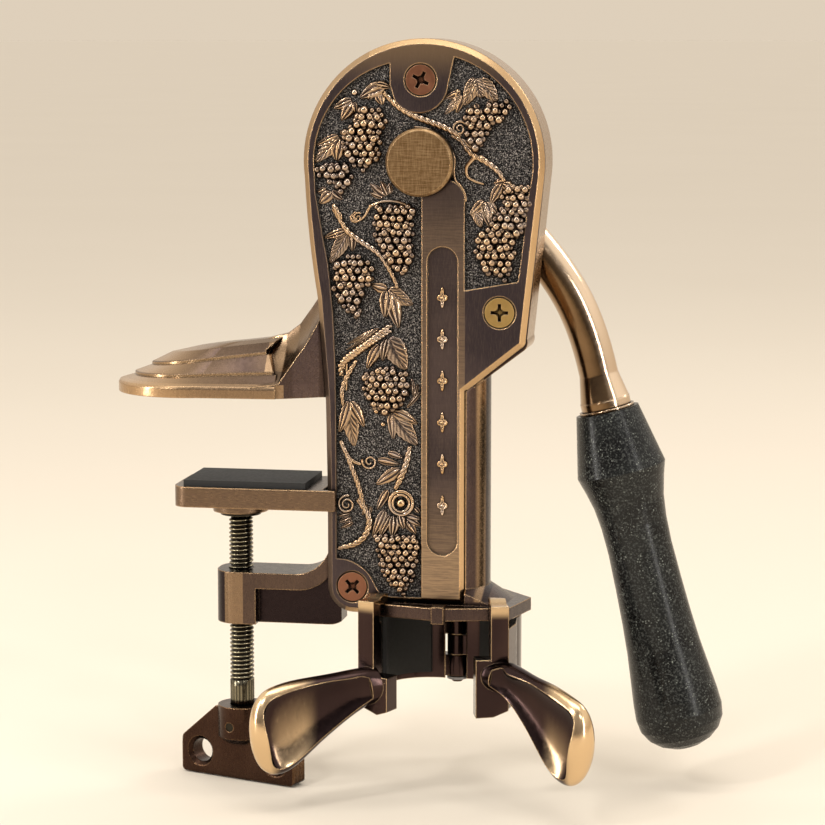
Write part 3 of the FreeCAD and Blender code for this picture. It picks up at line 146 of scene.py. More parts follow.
def metal(name, dark, mid, bright, rough=(0.42, 0.26), edge=0.7, wear=0.5, brush=None, brush_mix=0.16, brush_depth=0.004,
          blotch=0.5, low=0.03, high=0.20, painted_warm_reflection=None, brighten=None, shade=None, cross=None, hollow_shade_strength=0.85, hollow_shade_colour=(0.012, 0.008, 0.008)):
    """Antiqued metal: dark patina, worn bright where edges and raised places are rubbed. An optional mask adds more
    bright places, some of them painted highlights; an optional shade mask adds painted shade; hollows found by ambient
    occlusion get painted shade; an optional gold tint on downward faces is a painted warm reflection.
    """
    m, t, b, obj = start(name)
    edge_mask, open_, bev = edges(t, edge, low, high)
    big = noise(t, obj, 42.0, 2.0)
    small = noise(t, obj, 700.0, 4.0, 0.6)
    worn = calc(t, "MULTIPLY", edge_mask, span(t, small, 0.15, 0.60, 0.45, 1.0))
    attr = nd(t, "Attribute", attribute_name="wear").outputs["Fac"]
    mask = calc(t, "MAXIMUM", calc(t, "MULTIPLY", worn, wear * 2.0), attr, True)
    # extra bright places: on some parts rubbed wear, on others painted highlights and painted light
    if brighten:
        mask = calc(t, "MAXIMUM", mask, brighten(t, obj), True)
    base = mixc(t, span(t, big, 0.36, 0.66, 0.0, blotch), dark, mid)
    height = small
    if brush:
        lines = noise(t, stretch(t, obj, brush), 1.0, 6.0, 0.75)
        height = lines
        base = mixc(t, span(t, lines, 0.40, 0.68, 0.0, brush_mix), base, bright)
    if cross:
        weave = noise(t, stretch(t, obj, cross), 1.0, 6.0, 0.75)
        height = calc(t, "ADD", calc(t, "MULTIPLY", height, 0.5), calc(t, "MULTIPLY", weave, 0.5))
        base = mixc(t, span(t, weave, 0.40, 0.66, 0.0, brush_mix * 0.8), base, bright)
        base = mixc(t, span(t, weave, 0.52, 0.36, 0.0, brush_mix * 0.6), base, dark)
    if shade:
        base = mixc(t, shade(t, obj), base, (0.022, 0.015, 0.016))
        mask = calc(t, "MULTIPLY", mask, calc(t, "SUBTRACT", 1.0, calc(t, "MULTIPLY", shade(t, obj), 0.25)))
    hue = mixc(t, mask, base, bright)
    if brush:
        hue = mixc(t, calc(t, "MULTIPLY", mask, span(t, lines, 0.58, 0.36, 0.0, 0.35)), hue, mid)
    # downward faces are tinted warm gold in patches: a painted reflection of warm surroundings
    if painted_warm_reflection:
        normal = nd(t, "SeparateXYZ", {0: nd(t, "NewGeometry").outputs["Normal"]}).outputs["Z"]
        warm_reflection_mask = calc(t, "SUBTRACT", span(t, noise(t, obj, 95.0, 2.0), 0.36, 0.58), calc(t, "MULTIPLY", normal, 0.35), True)
        hue = mixc(t, calc(t, "MULTIPLY", warm_reflection_mask, mask), hue, painted_warm_reflection)
    # hollows found by ambient occlusion are darkened towards a near-black colour: painted shade
    hue = mixc(t, open_, mixc(t, hollow_shade_strength, hue, hollow_shade_colour), hue)
    t.links.new(hue, b.inputs["Base Color"])
    b.inputs["Metallic"].default_value = 1.0
    r = calc(t, "ADD", span(t, mask, 0.0, 1.0, rough[0], rough[1]), span(t, small, 0.3, 0.7, -0.04, 0.05))
    t.links.new(r, b.inputs["Roughness"])
    bump = nd(t, "Bump", {"Strength": 0.5, "Distance": brush_depth * MM, "Height": height, "Normal": bev})
    t.links.new(bump.outputs[0], b.inputs["Normal"])
    return m


# linear colours
PATINA = (0.052, 0.036, 0.036)
BROWN = (0.092, 0.060, 0.050)
GOLD = (0.60, 0.395, 0.215)


def axes(t, obj):
    """Position in the CAD's frame and the face's direction."""
    return nd(t, "SeparateXYZ", {0: obj}).outputs, nd(t, "SeparateXYZ", {0: nd(t, "TexCoord").outputs["Normal"]}).outputs


def both(t, *masks):
    out = masks[0]
    for m in masks[1:]:
        out = calc(t, "MULTIPLY", out, m)
    return out


def most(t, *masks):
    out = masks[0]
    for m in masks[1:]:
        out = calc(t, "MAXIMUM", out, m)
    return out


def over(t, v, mm):
    return calc(t, "GREATER_THAN", v, mm * MM)


def under(t, v, mm):
    return calc(t, "LESS_THAN", v, mm * MM)


def jaw_wear_and_highlight(t, obj):
    """Gold on the hooks over the flange, and on the paddles' rounded tips where their faces turn outward and forward;
    on the tips this is partly rubbed wear, partly a painted highlight.
    """
    p, n = axes(t, obj)
    reach = calc(t, "ABSOLUTE", calc(t, "SUBTRACT", p[0], (37.2 + SHIFT) * MM))
    side = calc(t, "SIGN", calc(t, "SUBTRACT", p[0], (37.2 + SHIFT) * MM))
    out = calc(t, "ADD", calc(t, "MULTIPLY", calc(t, "MULTIPLY", n[0], side), 0.74), calc(t, "MULTIPLY", n[1], -0.67))
    tip = both(t, span(t, reach, 35.5 * MM, 40.5 * MM), span(t, out, 0.02, 0.42))
    return most(t, tip, span(t, p[2], -67.5 * MM, -64.5 * MM, 0.0, 0.80))


def lever_painted_highlight(t, obj):
    """Painted highlight: the arm's outer side, whose faces turn to +x, is made bright, with a fainter stripe along its
    inner side.
    """
    p, n = axes(t, obj)
    outer = span(t, n[0], 0.20, 0.62, 0.0, 0.95)
    inner = span(t, n[0], -0.55, -0.95, 0.0, 0.40)
    return most(t, outer, inner)


def body_brighten(t, obj):
    """Where the casting is made bright. Painted light: upward faces of the foot, growing towards its tip, and of the
    top, the root's sloping faces, the head's right side, left-facing faces from mid height up, the front of the arm's
    boss and a stripe down the barrel. The foot's lower band towards its tip, its risers, the front of the arm's far end
    and the arm's beam are made brighter too.
    """
    p, n = axes(t, obj)
    tip = span(t, p[0], (-30.0 + SHIFT) * MM, (-62.0 + SHIFT) * MM)
    is_foot = both(t, under(t, p[0], -13.0 + SHIFT), over(t, p[2], -1.0))
    band = both(t, under(t, p[2], 4.4), span(t, tip, 0.0, 1.0, 0.45, 0.90))
    up = both(t, span(t, n[2], 0.60, 0.95), span(t, tip, 0.0, 1.0, 0.34, 0.80))
    riser = both(t, over(t, p[2], 4.6), under(t, p[0], -17.5 + SHIFT), span(t, n[2], 0.70, 0.35), 0.85)
    foot = both(t, is_foot, most(t, band, up, riser))
    sweep = both(t, over(t, p[0], -20.0 + SHIFT), under(t, p[0], 3.0 + SHIFT), over(t, p[2], 8.0), under(t, p[2], 46.0), span(t, n[2], 0.20, 0.55, 0.0, 0.42))
    head = both(t, over(t, n[0], 0.6), over(t, p[2], 14.0), over(t, p[0], 50.0 + SHIFT), 0.66)
    top = both(t, over(t, p[2], 60.0), span(t, n[2], 0.2, 0.7, 0.0, 0.66))
    left = both(t, under(t, n[0], -0.5), span(t, p[2], 30.0 * MM, 44.0 * MM), 0.42)
    boss = both(t, under(t, p[0], -24.4 + SHIFT), over(t, p[0], -28.7 + SHIFT), under(t, p[1], -8.5), under(t, p[2], -62.6), over(t, p[2], -75.5), over(t, n[1], -1.5), 0.95)
    post = both(t, under(t, p[0], -28.7 + SHIFT), under(t, p[1], -8.0), under(t, p[2], -50.0), under(t, n[1], -0.8), 0.34)
    beam = both(t, under(t, p[0], 4.0 + SHIFT), under(t, p[1], -8.5), under(t, p[2], -46.0), 0.05)
    barrel = both(t, over(t, p[0], 46.5 + SHIFT), under(t, p[0], 51.5 + SHIFT), under(t, p[1], -4.0), over(t, p[2], -64.0), under(t, p[2], 12.0))
    stripe = both(t, barrel, span(t, p[0], (47.2 + SHIFT) * MM, (48.4 + SHIFT) * MM), span(t, p[0], (50.3 + SHIFT) * MM, (49.7 + SHIFT) * MM), span(t, p[2], -55.0 * MM, 8.0 * MM, 0.40, 0.75))
    return most(t, foot, sweep, head, top, left, boss, post, beam, stripe)


def body_shade(t, obj):
    """Painted shade: darkens the arm's web and far end below the casting, the sloping faces among the foot's steps
    towards its root, and the barrel's right side.
    """
    p, n = axes(t, obj)
    arm = both(t, under(t, p[0], 12.0 + SHIFT), under(t, p[2], -46.0), over(t, p[1], -8.6), under(t, p[1], 8.6))
    valley = both(t, span(t, p[0], (-40.0 + SHIFT) * MM, (-18.0 + SHIFT) * MM), under(t, p[0], -3.0 + SHIFT), over(t, p[2], 4.4), span(t, p[2], 30.0 * MM, 20.0 * MM), span(t, n[1], -0.93, -0.75), span(t, n[1], -0.04, -0.22))
    barrel = both(t, over(t, p[0], 40.0 + SHIFT), under(t, p[0], 52.0 + SHIFT), under(t, p[2], 12.0), over(t, p[2], -64.0), span(t, p[0], (49.9 + SHIFT) * MM, (50.4 + SHIFT) * MM, 0.0, 0.9))
    return calc(t, "MULTIPLY", most(t, arm, calc(t, "MULTIPLY", valley, 0.85), barrel), 0.92)


M = {}
M["body"] = metal("bronze_casting", PATINA, BROWN, GOLD, (0.27, 0.23), 0.7, 0.62, brush=(5200, 5200, 420), brush_mix=0.06, brighten=body_brighten, shade=body_shade)
# faces of the clamp plate turned to the front are made a little brighter: painted light
M["arm"] = metal("bronze_arm", PATINA, BROWN, GOLD, (0.30, 0.22), 0.9, 0.9, brush=(500, 5200, 5200), brush_mix=0.25, brighten=lambda t, obj: both(
    t, under(t, axes(t, obj)[1][1], -0.8), 0.14))
M["cap"] = metal("brushed_cap", (0.150, 0.083, 0.036), (0.27, 0.160, 0.075), (0.62, 0.43, 0.235), (0.33, 0.25), 0.35, 0.9,
                 brush=(2500, 900, 170), cross=(170, 900, 2500), brush_mix=0.50, brush_depth=0.012)
M["lever"] = metal("lever_bronze", (0.120, 0.072, 0.038), (0.250, 0.155, 0.078), (0.82, 0.63, 0.45), (0.17, 0.13), 0.9, 0.7, blotch=0.7, brush_depth=0.002, brighten=lever_painted_highlight)
M["jaw"] = metal("jaw_bronze", (0.034, 0.021, 0.020), (0.062, 0.037, 0.032), (0.70, 0.50, 0.29), (0.17, 0.20), 0.6, 0.55, blotch=0.6, brush_depth=0.002, brighten=jaw_wear_and_highlight)
# the knob's bronze is redder and darker than the casting's; its darkness is painted shade
M["knob"] = metal("knob_bronze", (0.034, 0.017, 0.012), (0.070, 0.038, 0.026), (0.42, 0.24, 0.12), (0.28, 0.22), 0.6, 0.55, brush=(5000, 5000, 600), brush_mix=0.06)
M["steel"] = metal("drive_steel", (0.24, 0.24, 0.25), (0.33, 0.33, 0.34), (0.55, 0.55, 0.56), (0.36, 0.26), 0.4, 0.4, brush=(4000, 4000, 400))
M["oiled"] = metal("oiled_steel", (0.030, 0.026, 0.019), (0.060, 0.052, 0.035), (0.42, 0.37, 0.25), (0.30, 0.20), 0.12, 0.9, low=0.02, high=0.14)
M["bush"] = metal("bush_bronze", (0.42, 0.29, 0.13), (0.50, 0.36, 0.17), (0.68, 0.52, 0.30), (0.34, 0.25), 0.4, 0.4, brush=(500, 500, 4400))
M["worm"] = metal("worm_steel", (0.42, 0.42, 0.43), (0.50, 0.50, 0.51), (0.72, 0.72, 0.73), (0.16, 0.12), 0.3, 0.3)
M["relief"] = metal("relief_bronze", (0.070, 0.050, 0.044), (0.125, 0.086, 0.066), (0.74, 0.58, 0.45), (0.18, 0.12), 0.10, 0.12,
                    painted_warm_reflection=(0.56, 0.345, 0.155), hollow_shade_strength=0.60)


def screw_material():
    """Plated screw heads: copper-brown ones and one of yellow brass."""
    m, t, b, obj = start("screw_plating")
    edge_mask, open_, bev = edges(t, 0.35)
    xyz = nd(t, "SeparateXYZ", {0: obj})
    brass = calc(t, "MULTIPLY", calc(t, "GREATER_THAN", xyz.outputs[0], (48.0 + SHIFT) * MM), calc(t, "LESS_THAN", xyz.outputs[2], 50.0 * MM))
    n = noise(t, obj, 420.0, 4.0, 0.6)
    copper = mixc(t, n, (0.20, 0.088, 0.052), (0.30, 0.135, 0.080))
    yellow = mixc(t, n, (0.36, 0.235, 0.080), (0.48, 0.325, 0.125))
    hue = mixc(t, brass, copper, yellow)
    hue = mixc(t, calc(t, "MULTIPLY", edge_mask, 0.7), hue, (0.60, 0.38, 0.22))
    # the cross recess is darkened to near-black where ambient occlusion finds it deep: painted shade
    recess_painted_shade = nd(t, "AmbientOcclusion", {"Distance": 3.0 * MM}, samples=6, only_local=False).outputs["AO"]
    hue = mixc(t, span(t, recess_painted_shade, 0.62, 0.86), (0.008, 0.005, 0.004), hue)
    t.links.new(hue, b.inputs["Base Color"])
    b.inputs["Metallic"].default_value = 1.0
    t.links.new(span(t, n, 0.3, 0.7, 0.30, 0.44), b.inputs["Roughness"])
    t.links.new(nd(t, "Bump", {"Strength": 0.5, "Distance": 0.01 * MM, "Height": n, "Normal": bev}).outputs[0], b.inputs["Normal"])
    return m


M["screw"] = screw_material()


def plastic(name, a, b_, rough, scale=900.0, depth=0.02):
    m, t, b, obj = start(name)
    n = noise(t, obj, scale, 3.0)
    t.links.new(mixc(t, n, a, b_), b.inputs["Base Color"])
    t.links.new(span(t, n, 0.3, 0.7, rough - 0.06, rough + 0.08), b.inputs["Roughness"])
    t.links.new(nd(t, "Bump", {"Strength": 0.6, "Distance": depth * MM, "Height": n}).outputs[0], b.inputs["Normal"])
    return m


M["rubber"] = plastic("black_rubber", (0.012, 0.012, 0.012), (0.028, 0.027, 0.026), 0.72)
M["slide"] = plastic("slide_plastic", (0.60, 0.58, 0.53), (0.70, 0.68, 0.62), 0.42)


def stone():
    m, t, b, obj = start("black_stone")
    cloud = noise(t, obj, 120.0, 4.0)
    fleck = noise(t, obj, 1500.0, 2.0, 0.6)
    speck = nd(t, "TexVoronoi", {"Vector": obj, "Scale": 1050.0, "Randomness": 1.0}).outputs["Distance"]
    base = mixc(t, span(t, cloud, 0.35, 0.65), (0.0036, 0.0038, 0.0037), (0.0115, 0.0123, 0.0118))
    base = mixc(t, span(t, fleck, 0.52, 0.68, 0.0, 0.85), base, (0.072, 0.077, 0.071))
    dots = calc(t, "MULTIPLY", span(t, speck, 0.32, 0.14), span(t, noise(t, obj, 300.0, 4.0, 0.65), 0.46, 0.62))
    base = mixc(t, calc(t, "MULTIPLY", dots, 0.85), base, (0.25, 0.27, 0.24))
    t.links.new(base, b.inputs["Base Color"])
    t.links.new(span(t, fleck, 0.35, 0.7, 0.20, 0.42), b.inputs["Roughness"])
    b.inputs["Specular IOR Level"].default_value = 0.26
    t.links.new(nd(t, "Bump", {"Strength": 0.5, "Distance": 0.03 * MM, "Height": fleck}).outputs[0], b.inputs["Normal"])
    return m


M["stone"] = stone()


def cover_material():
    """The cover: smooth pads and strip, rubbed edges, bevels painted gold as a painted reflection, painted shade in
    hollows, and a stippled ground where the face is sunk.
    """
    m, t, b, obj = start("cover_bronze")
    edge_mask, open_, bev = edges(t, 0.7, 0.03, 0.16)
    xyz = nd(t, "SeparateXYZ", {0: obj})
    px, py, pz = xyz.outputs[0], xyz.outputs[1], xyz.outputs[2]
    nrm = nd(t, "SeparateXYZ", {0: nd(t, "NewGeometry").outputs["Normal"]})
    facing = calc(t, "LESS_THAN", nrm.outputs[1], -0.8)
    sunk = calc(t, "MULTIPLY", calc(t, "MULTIPLY", calc(t, "GREATER_THAN", py, -11.55 * MM), calc(t, "LESS_THAN", py, -11.25 * MM)), facing)
    big = noise(t, obj, 42.0, 2.0)
    small = noise(t, obj, 700.0, 4.0, 0.6)
    brush_v = noise(t, stretch(t, obj, (6200, 900, 420)), 1.0, 6.0, 0.75)
    brush_h = noise(t, stretch(t, obj, (150, 900, 2800)), 1.0, 6.0, 0.75)
    base = mixc(t, span(t, big, 0.36, 0.66, 0.0, 0.9), (0.050, 0.039, 0.044), (0.080, 0.060, 0.062))
    base = mixc(t, span(t, brush_v, 0.42, 0.72, 0.0, 0.14), base, (0.34, 0.24, 0.17))
    # the strip turns gold beside the sunk panel and towards its lower end
    in_strip = calc(t, "MULTIPLY", calc(t, "GREATER_THAN", px, (30.5 + SHIFT) * MM), calc(t, "LESS_THAN", px, (44.5 + SHIFT) * MM))
    in_strip = calc(t, "MULTIPLY", in_strip, calc(t, "LESS_THAN", pz, 68.0 * MM))
    proud = calc(t, "LESS_THAN", py, -12.4 * MM)
    level = calc(t, "ADD", span(t, pz, 66.0 * MM, 50.0 * MM, 0.08, 0.26), span(t, pz, 44.0 * MM, -58.0 * MM, 0.0, 0.48), True)
    sunk_level = span(t, pz, -20.0 * MM, -48.0 * MM, 0.04, 0.38)
    strip = calc(t, "ADD", calc(t, "MULTIPLY", proud, level), calc(t, "MULTIPLY", calc(t, "SUBTRACT", 1.0, proud), sunk_level))
    strip = calc(t, "MULTIPLY", calc(t, "MULTIPLY", in_strip, strip), span(t, brush_h, 0.36, 0.62, 0.55, 1.0))
    base = mixc(t, strip, base, (0.50, 0.345, 0.205))
    # edges are rubbed, less so on the far left below the top; bevels are painted gold as a painted reflection, dimmer
    # where they face left, most of all low down; the raised face grows gold towards the top
    bevel_painted_reflection = calc(t, "MULTIPLY", calc(t, "GREATER_THAN", nrm.outputs[1], -0.97), calc(t, "LESS_THAN", nrm.outputs[1], -0.3))
    left_edge = calc(t, "MULTIPLY", calc(t, "LESS_THAN", nrm.outputs[0], -0.25), calc(t, "LESS_THAN", px, (14.0 + SHIFT) * MM))
    bevel_painted_reflection = calc(t, "MULTIPLY", bevel_painted_reflection, calc(t, "SUBTRACT", 1.0, calc(t, "MULTIPLY", left_edge, span(t, pz, 40.0 * MM, 12.0 * MM, 0.30, 0.85))))
    brighten = calc(t, "MULTIPLY", edge_mask, span(t, small, 0.15, 0.6, 0.8, 1.0))
    crown = calc(t, "MULTIPLY", span(t, pz, 98.0 * MM, 112.0 * MM, 0.0, 0.34), proud)
    quiet = calc(t, "MAXIMUM", span(t, px, (5.0 + SHIFT) * MM, (12.0 + SHIFT) * MM, 0.30, 1.0), span(t, pz, 60.0 * MM, 80.0 * MM))
    brighten = calc(t, "MULTIPLY", brighten, quiet)
    mask = calc(t, "MAXIMUM", calc(t, "MULTIPLY", brighten, 1.5, True), calc(t, "MULTIPLY", bevel_painted_reflection, span(t, brush_v, 0.25, 0.6, 0.84, 1.0)), True)
    mask = calc(t, "MAXIMUM", mask, crown)
    hue = mixc(t, mask, base, (0.60, 0.40, 0.215))
    # hollows found by ambient occlusion are darkened: painted shade
    hue = mixc(t, open_, mixc(t, 0.7, hue, (0.012, 0.009, 0.008)), hue)
    # stipple: worm-like bright crumbs on a gunmetal ground
    worm = noise(t, obj, 2700.0, 1.0, 0.5, 0.6)
    crumbs = span(t, worm, 0.44, 0.60)
    ground = mixc(t, crumbs, (0.012, 0.012, 0.013), (0.095, 0.089, 0.088))
    ground = mixc(t, span(t, worm, 0.59, 0.66, 0.0, 0.75), ground, (0.50, 0.46, 0.42))
    # the stippled ground goes where the face is sunk, darkened where ambient occlusion finds it hidden: painted shade
    hue = mixc(t, sunk, hue, mixc(t, open_, mixc(t, 0.55, ground, (0.010, 0.010, 0.010)), ground))
    t.links.new(hue, b.inputs["Base Color"])
    b.inputs["Metallic"].default_value = 1.0
    r = calc(t, "ADD", span(t, mask, 0.0, 1.0, 0.38, 0.27), calc(t, "MULTIPLY", sunk, 0.02))
    t.links.new(r, b.inputs["Roughness"])
    fine = nd(t, "Bump", {"Strength": 0.4, "Distance": 0.005 * MM, "Height": brush_v, "Normal": bev})
    rough_ = nd(t, "Bump", {"Strength": 1.0, "Distance": 0.26 * MM, "Height": calc(t, "MULTIPLY", worm, sunk), "Normal": fine.outputs[0]})
    t.links.new(rough_.outputs[0], b.inputs["Normal"])
    return m


M["cover"] = cover_material()

LOOK = {
    "housing": "body", "foot_pad": "rubber", "cover_plate": "cover", "pivot_cap": "cap", "cover_screws": "screw", "rear_bush": "bush",
    "crank_shaft": "steel", "crank_arm": "steel", "crank_screw": "steel", "con_rod": "steel", "crank_pin": "steel", "wrist_pin": "steel",
    "lever_arm": "lever", "lever_washer": "lever", "lever_nut": "lever", "grip_washer": "lever", "grip_stud": "steel", "handle_grip": "stone",
    "lever_stops": "steel", "carriage": "slide", "worm": "worm", "thrust_washer": "bush", "worm_clip": "steel", "worm_nut": "bush",
    "guide_screw": "steel", "left_jaw": "jaw", "right_jaw": "jaw", "left_grip_pad": "rubber", "right_grip_pad": "rubber", "hinge_pin": "jaw",
    "hinge_clip": "steel", "clamp_plate": "arm", "clamp_pad": "rubber", "clamp_screw": "oiled", "screw_end_clip": "oiled",
    "screw_washer": "oiled", "clamp_knob": "knob", "knob_pin": "oiled",
}
for name, key in LOOK.items():
    o = NODE[name]
    o.data.materials.clear()
    o.data.materials.append(M[key])


# ---------------------------------------------------------------- mesh helpers
class Soup:
    """Gathers faces for one piece. Points are in millimetres; wear runs from 0, patina, to 1, rubbed bright."""

    def __init__(self):
        self.v, self.f, self.w = [], [], []

    def add(self, pts, faces, wear):
        k = len(self.v)
        self.v.extend(W(*p) for p in pts)
        self.f.extend([tuple(i + k for i in f) for f in faces])
        self.w.extend(wear if hasattr(wear, "__len__") else [wear] * len(pts))

    def grid(self, pts, rows, cols, wear, close=False, flip=False):
        faces = []
        for i in range(rows - 1):
            for j in range(cols if close else cols - 1):
                a, b_, c, d = i * cols + j, i * cols + (j + 1) % cols, (i + 1) * cols + (j + 1) % cols, (i + 1) * cols + j
                faces.append((a, b_, c, d) if not flip else (d, c, b_, a))
        self.add(pts, faces, wear)

    def make(self, name, material, body, slot=None, smooth=True):
        me = bpy.data.meshes.new(name)
        me.from_pydata([tuple(p) for p in self.v], [], self.f)
        me.update()
        a = me.attributes.new("wear", "FLOAT", "POINT")
        a.data.foreach_set("value", np.array(self.w, np.float32))
        me.polygons.foreach_set("use_smooth", [smooth] * len(me.polygons))
        me.materials.append(material)
        o = bpy.data.objects.new(name, me)
        bpy.context.scene.collection.objects.link(o)
        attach(o, body)
        return o


def clamp01(v):
    return max(0.0, min(1.0, v))


def ball(s, x, z, out, r, wear=1.0, seg=12, rings=8):
    """A grape: a ball whose middle stands out from the ground by out."""
    pts, ws = [], []
    for i in range(rings + 1):
        a = math.pi * i / rings
        for j in range(seg):
            c = 2 * math.pi * j / seg
            h = math.cos(a)
            pts.append((x + r * math.sin(a) * math.cos(c), GROUND - out - r * h, z + r * math.sin(a) * math.sin(c)))
            ws.append(wear * (0.18 + 0.82 * clamp01((h - 0.30) / 0.70) ** 1.6) if h > -0.4 else 0.0)
    s.grid(pts, rings + 1, seg, ws, True)


def smooth_path(pts, step=0.35):
    """A Catmull-Rom line through the points, sampled evenly."""
    p = [Vector(q) for q in pts]
    p = [p[0] * 2 - p[1]] + p + [p[-1] * 2 - p[-2]]
    out = []
    for i in range(1, len(p) - 2):
        n = max(2, int((p[i + 1] - p[i]).length / step))
        for k in range(n):
            u = k / n
            out.append(0.5 * ((2 * p[i]) + (p[i + 1] - p[i - 1]) * u + (2 * p[i - 1] - 5 * p[i] + 4 * p[i + 1] - p[i + 2]) * u * u
                              + (3 * p[i] - p[i - 1] - 3 * p[i + 1] + p[i + 2]) * u ** 3))
    out.append(p[-2].copy())
    return out


def tube(s, path, radius, sides=8, wear=0.9, flat=1.0):
    """A round bar along a path of (x, z, out) points; radius is a number or a list."""
    n = len(path)
    pts, ws = [], []
    for i, q in enumerate(path):
        a, b_ = path[max(0, i - 1)], path[min(n - 1, i + 1)]
        d = (b_ - a)
        d = d.normalized() if d.length > 1e-9 else Vector((1, 0, 0))
        side = Vector((-d.y, d.x, 0.0))
        side = side.normalized() if side.length > 1e-6 else Vector((1, 0, 0))
        up = d.cross(side) * -1
        if up.z < 0:
            up = -up
        r = radius[i] if hasattr(radius, "__len__") else radius
        for j in range(sides):
            c = 2 * math.pi * j / sides
            v = q + side * (r * math.cos(c)) + up * (r * math.sin(c) * flat)
            pts.append((v.x, GROUND - v.z, v.y))
            ws.append(wear * 0.80 * clamp01((math.sin(c) - 0.05) / 0.95) ** 1.5)
    s.grid(pts, n, sides, ws, True)
    for end, ring in ((path[0], 0), (path[-1], n - 1)):
        k = len(s.v)
        s.v.append(W(end.x, GROUND - end.z, end.y))
        s.w.append(wear * 0.6)
        first = k - n * sides if ring == 0 else k - sides - (0 if ring == 0 else 0)
        base = (k - n * sides) if ring == 0 else (k - sides - 1)
        for j in range(sides):
            s.f.append((base + j, base + (j + 1) % sides, k))
    return s


def flat_path(pts, out):
    return [(x, z, out if not hasattr(out, "__len__") else out[i]) for i, (x, z) in enumerate(pts)]


def rope(s, pts, out=0.75, width=1.15, pitch=2.6, taper=(0.6, 0.6), wear=0.9, strands=2):
    """Twisted stem: strands wound round one line."""
    line = smooth_path(flat_path(pts, out), 0.30)
    n = len(line)
    length = [0.0]
    for a, b_ in zip(line, line[1:]):
        length.append(length[-1] + (b_ - a).length)
    total = length[-1]
    for k in range(strands):
        path, radii = [], []
        for i, q in enumerate(line):
            a, b_ = line[max(0, i - 1)], line[min(n - 1, i + 1)]
            d = (b_ - a).normalized()
            side = Vector((-d.y, d.x, 0.0)).normalized()
            share = length[i] / total
            size = width * (taper[0] + (1 - taper[0]) * clamp01(share / 0.25)) * (taper[1] + (1 - taper[1]) * clamp01((1 - share) / 0.25))
            w = 2 * math.pi * length[i] / pitch + 2 * math.pi * k / strands
            path.append(q + side * (0.50 * size * math.cos(w)) + Vector((0, 0, 0.42 * size * math.sin(w))))
            radii.append(0.58 * size)
        tube(s, path, radii, 7, wear)


def leaf(s, base, tip, width, out=1.0, veins=5.0, bend=0.0, wear=0.95, rows=26, cols=21, edge=0.10, fold=True):
    """One lobe, pointed and arched. Folded lobes have pleats from end to end; the others have slanting veins."""
    bx, bz = base
    tx, tz = tip
    length = math.hypot(tx - bx, tz - bz)
    ux, uz = (tx - bx) / length, (tz - bz) / length
    nx, nz = -uz, ux
    pts, ws = [], []
    for i in range(rows):
        u = i / (rows - 1)
        notch = 1 - (0.07 if fold else 0.12) * (0.5 - 0.5 * math.cos(u * veins * 2 * math.pi))
        half = width / 2 * (math.sin(math.pi * min(1.0, u ** 0.70)) ** 0.78 + 0.06) * notch
        off = bend * width * math.sin(math.pi * u)
        for j in range(cols):
            v = -1 + 2 * j / (cols - 1)
            x = bx + ux * length * u + nx * (half * v + off)
            z = bz + uz * length * u + nz * (half * v + off)
            arch = (1 - abs(v) ** 2.4) * (0.40 + 0.60 * math.sin(math.pi * clamp01(u * 0.90 + 0.08)))
            if fold:
                ridge = abs(math.cos(math.pi * (v * (1.55 if width > 3.0 else 1.05) + 0.10))) ** 1.4
                rib = 0.0
            else:
                ridge = abs(math.cos(math.pi * veins * (u - 0.40 * abs(v) ** 0.85))) ** 1.2
                rib = math.exp(-(v / 0.12) ** 2)
            lip = math.exp(-((abs(v) - 0.84) / 0.10) ** 2)
            h = edge + out * (0.46 * arch + 0.46 * ridge * (1 - abs(v) ** 5) * (0.30 + 0.70 * arch) * (1 - rib) + 0.16 * lip)
            h -= 0.10 * rib * out * (1 - u)
            if j in (0, cols - 1) or i in (0, rows - 1):
                h = -0.15
            pts.append((x, GROUND - h, z))
            bright = clamp01((ridge - 0.45) * 1.7) ** 1.3 * (1 - rib * 0.7) * (0.25 + 0.75 * arch)
            ws.append(wear * clamp01(max(bright, 0.85 * lip * (0.5 + 0.5 * arch))) if h > 0 else 0.0)
    s.grid(pts, rows, cols, ws)


# ---------------------------------------------------------------- the raised grapevine on the cover
random.seed(7)
LEVEL = GROUND - 1.0


def at(crop, x, y):
    """A point of one of four enlarged parts of the photograph, on the relief's plane."""
    ox, oy, k = {"a": (300, 60, 5.807), "b": (300, 210, 5.807), "c": (310, 330, 8.25), "d": (300, 500, 6.03)}[crop]
    return seen(ox + x / k, oy + y / k, LEVEL)


grapes, leaves, vines = Soup(), Soup(), Soup()


def inside(p, poly):
    x, y = p
    hit = False
    for (x1, y1), (x2, y2) in zip(poly, poly[1:] + poly[:1]):
        if (y1 > y) != (y2 > y) and x < (x2 - x1) * (y - y1) / (y2 - y1) + x1:
            hit = not hit
    return hit


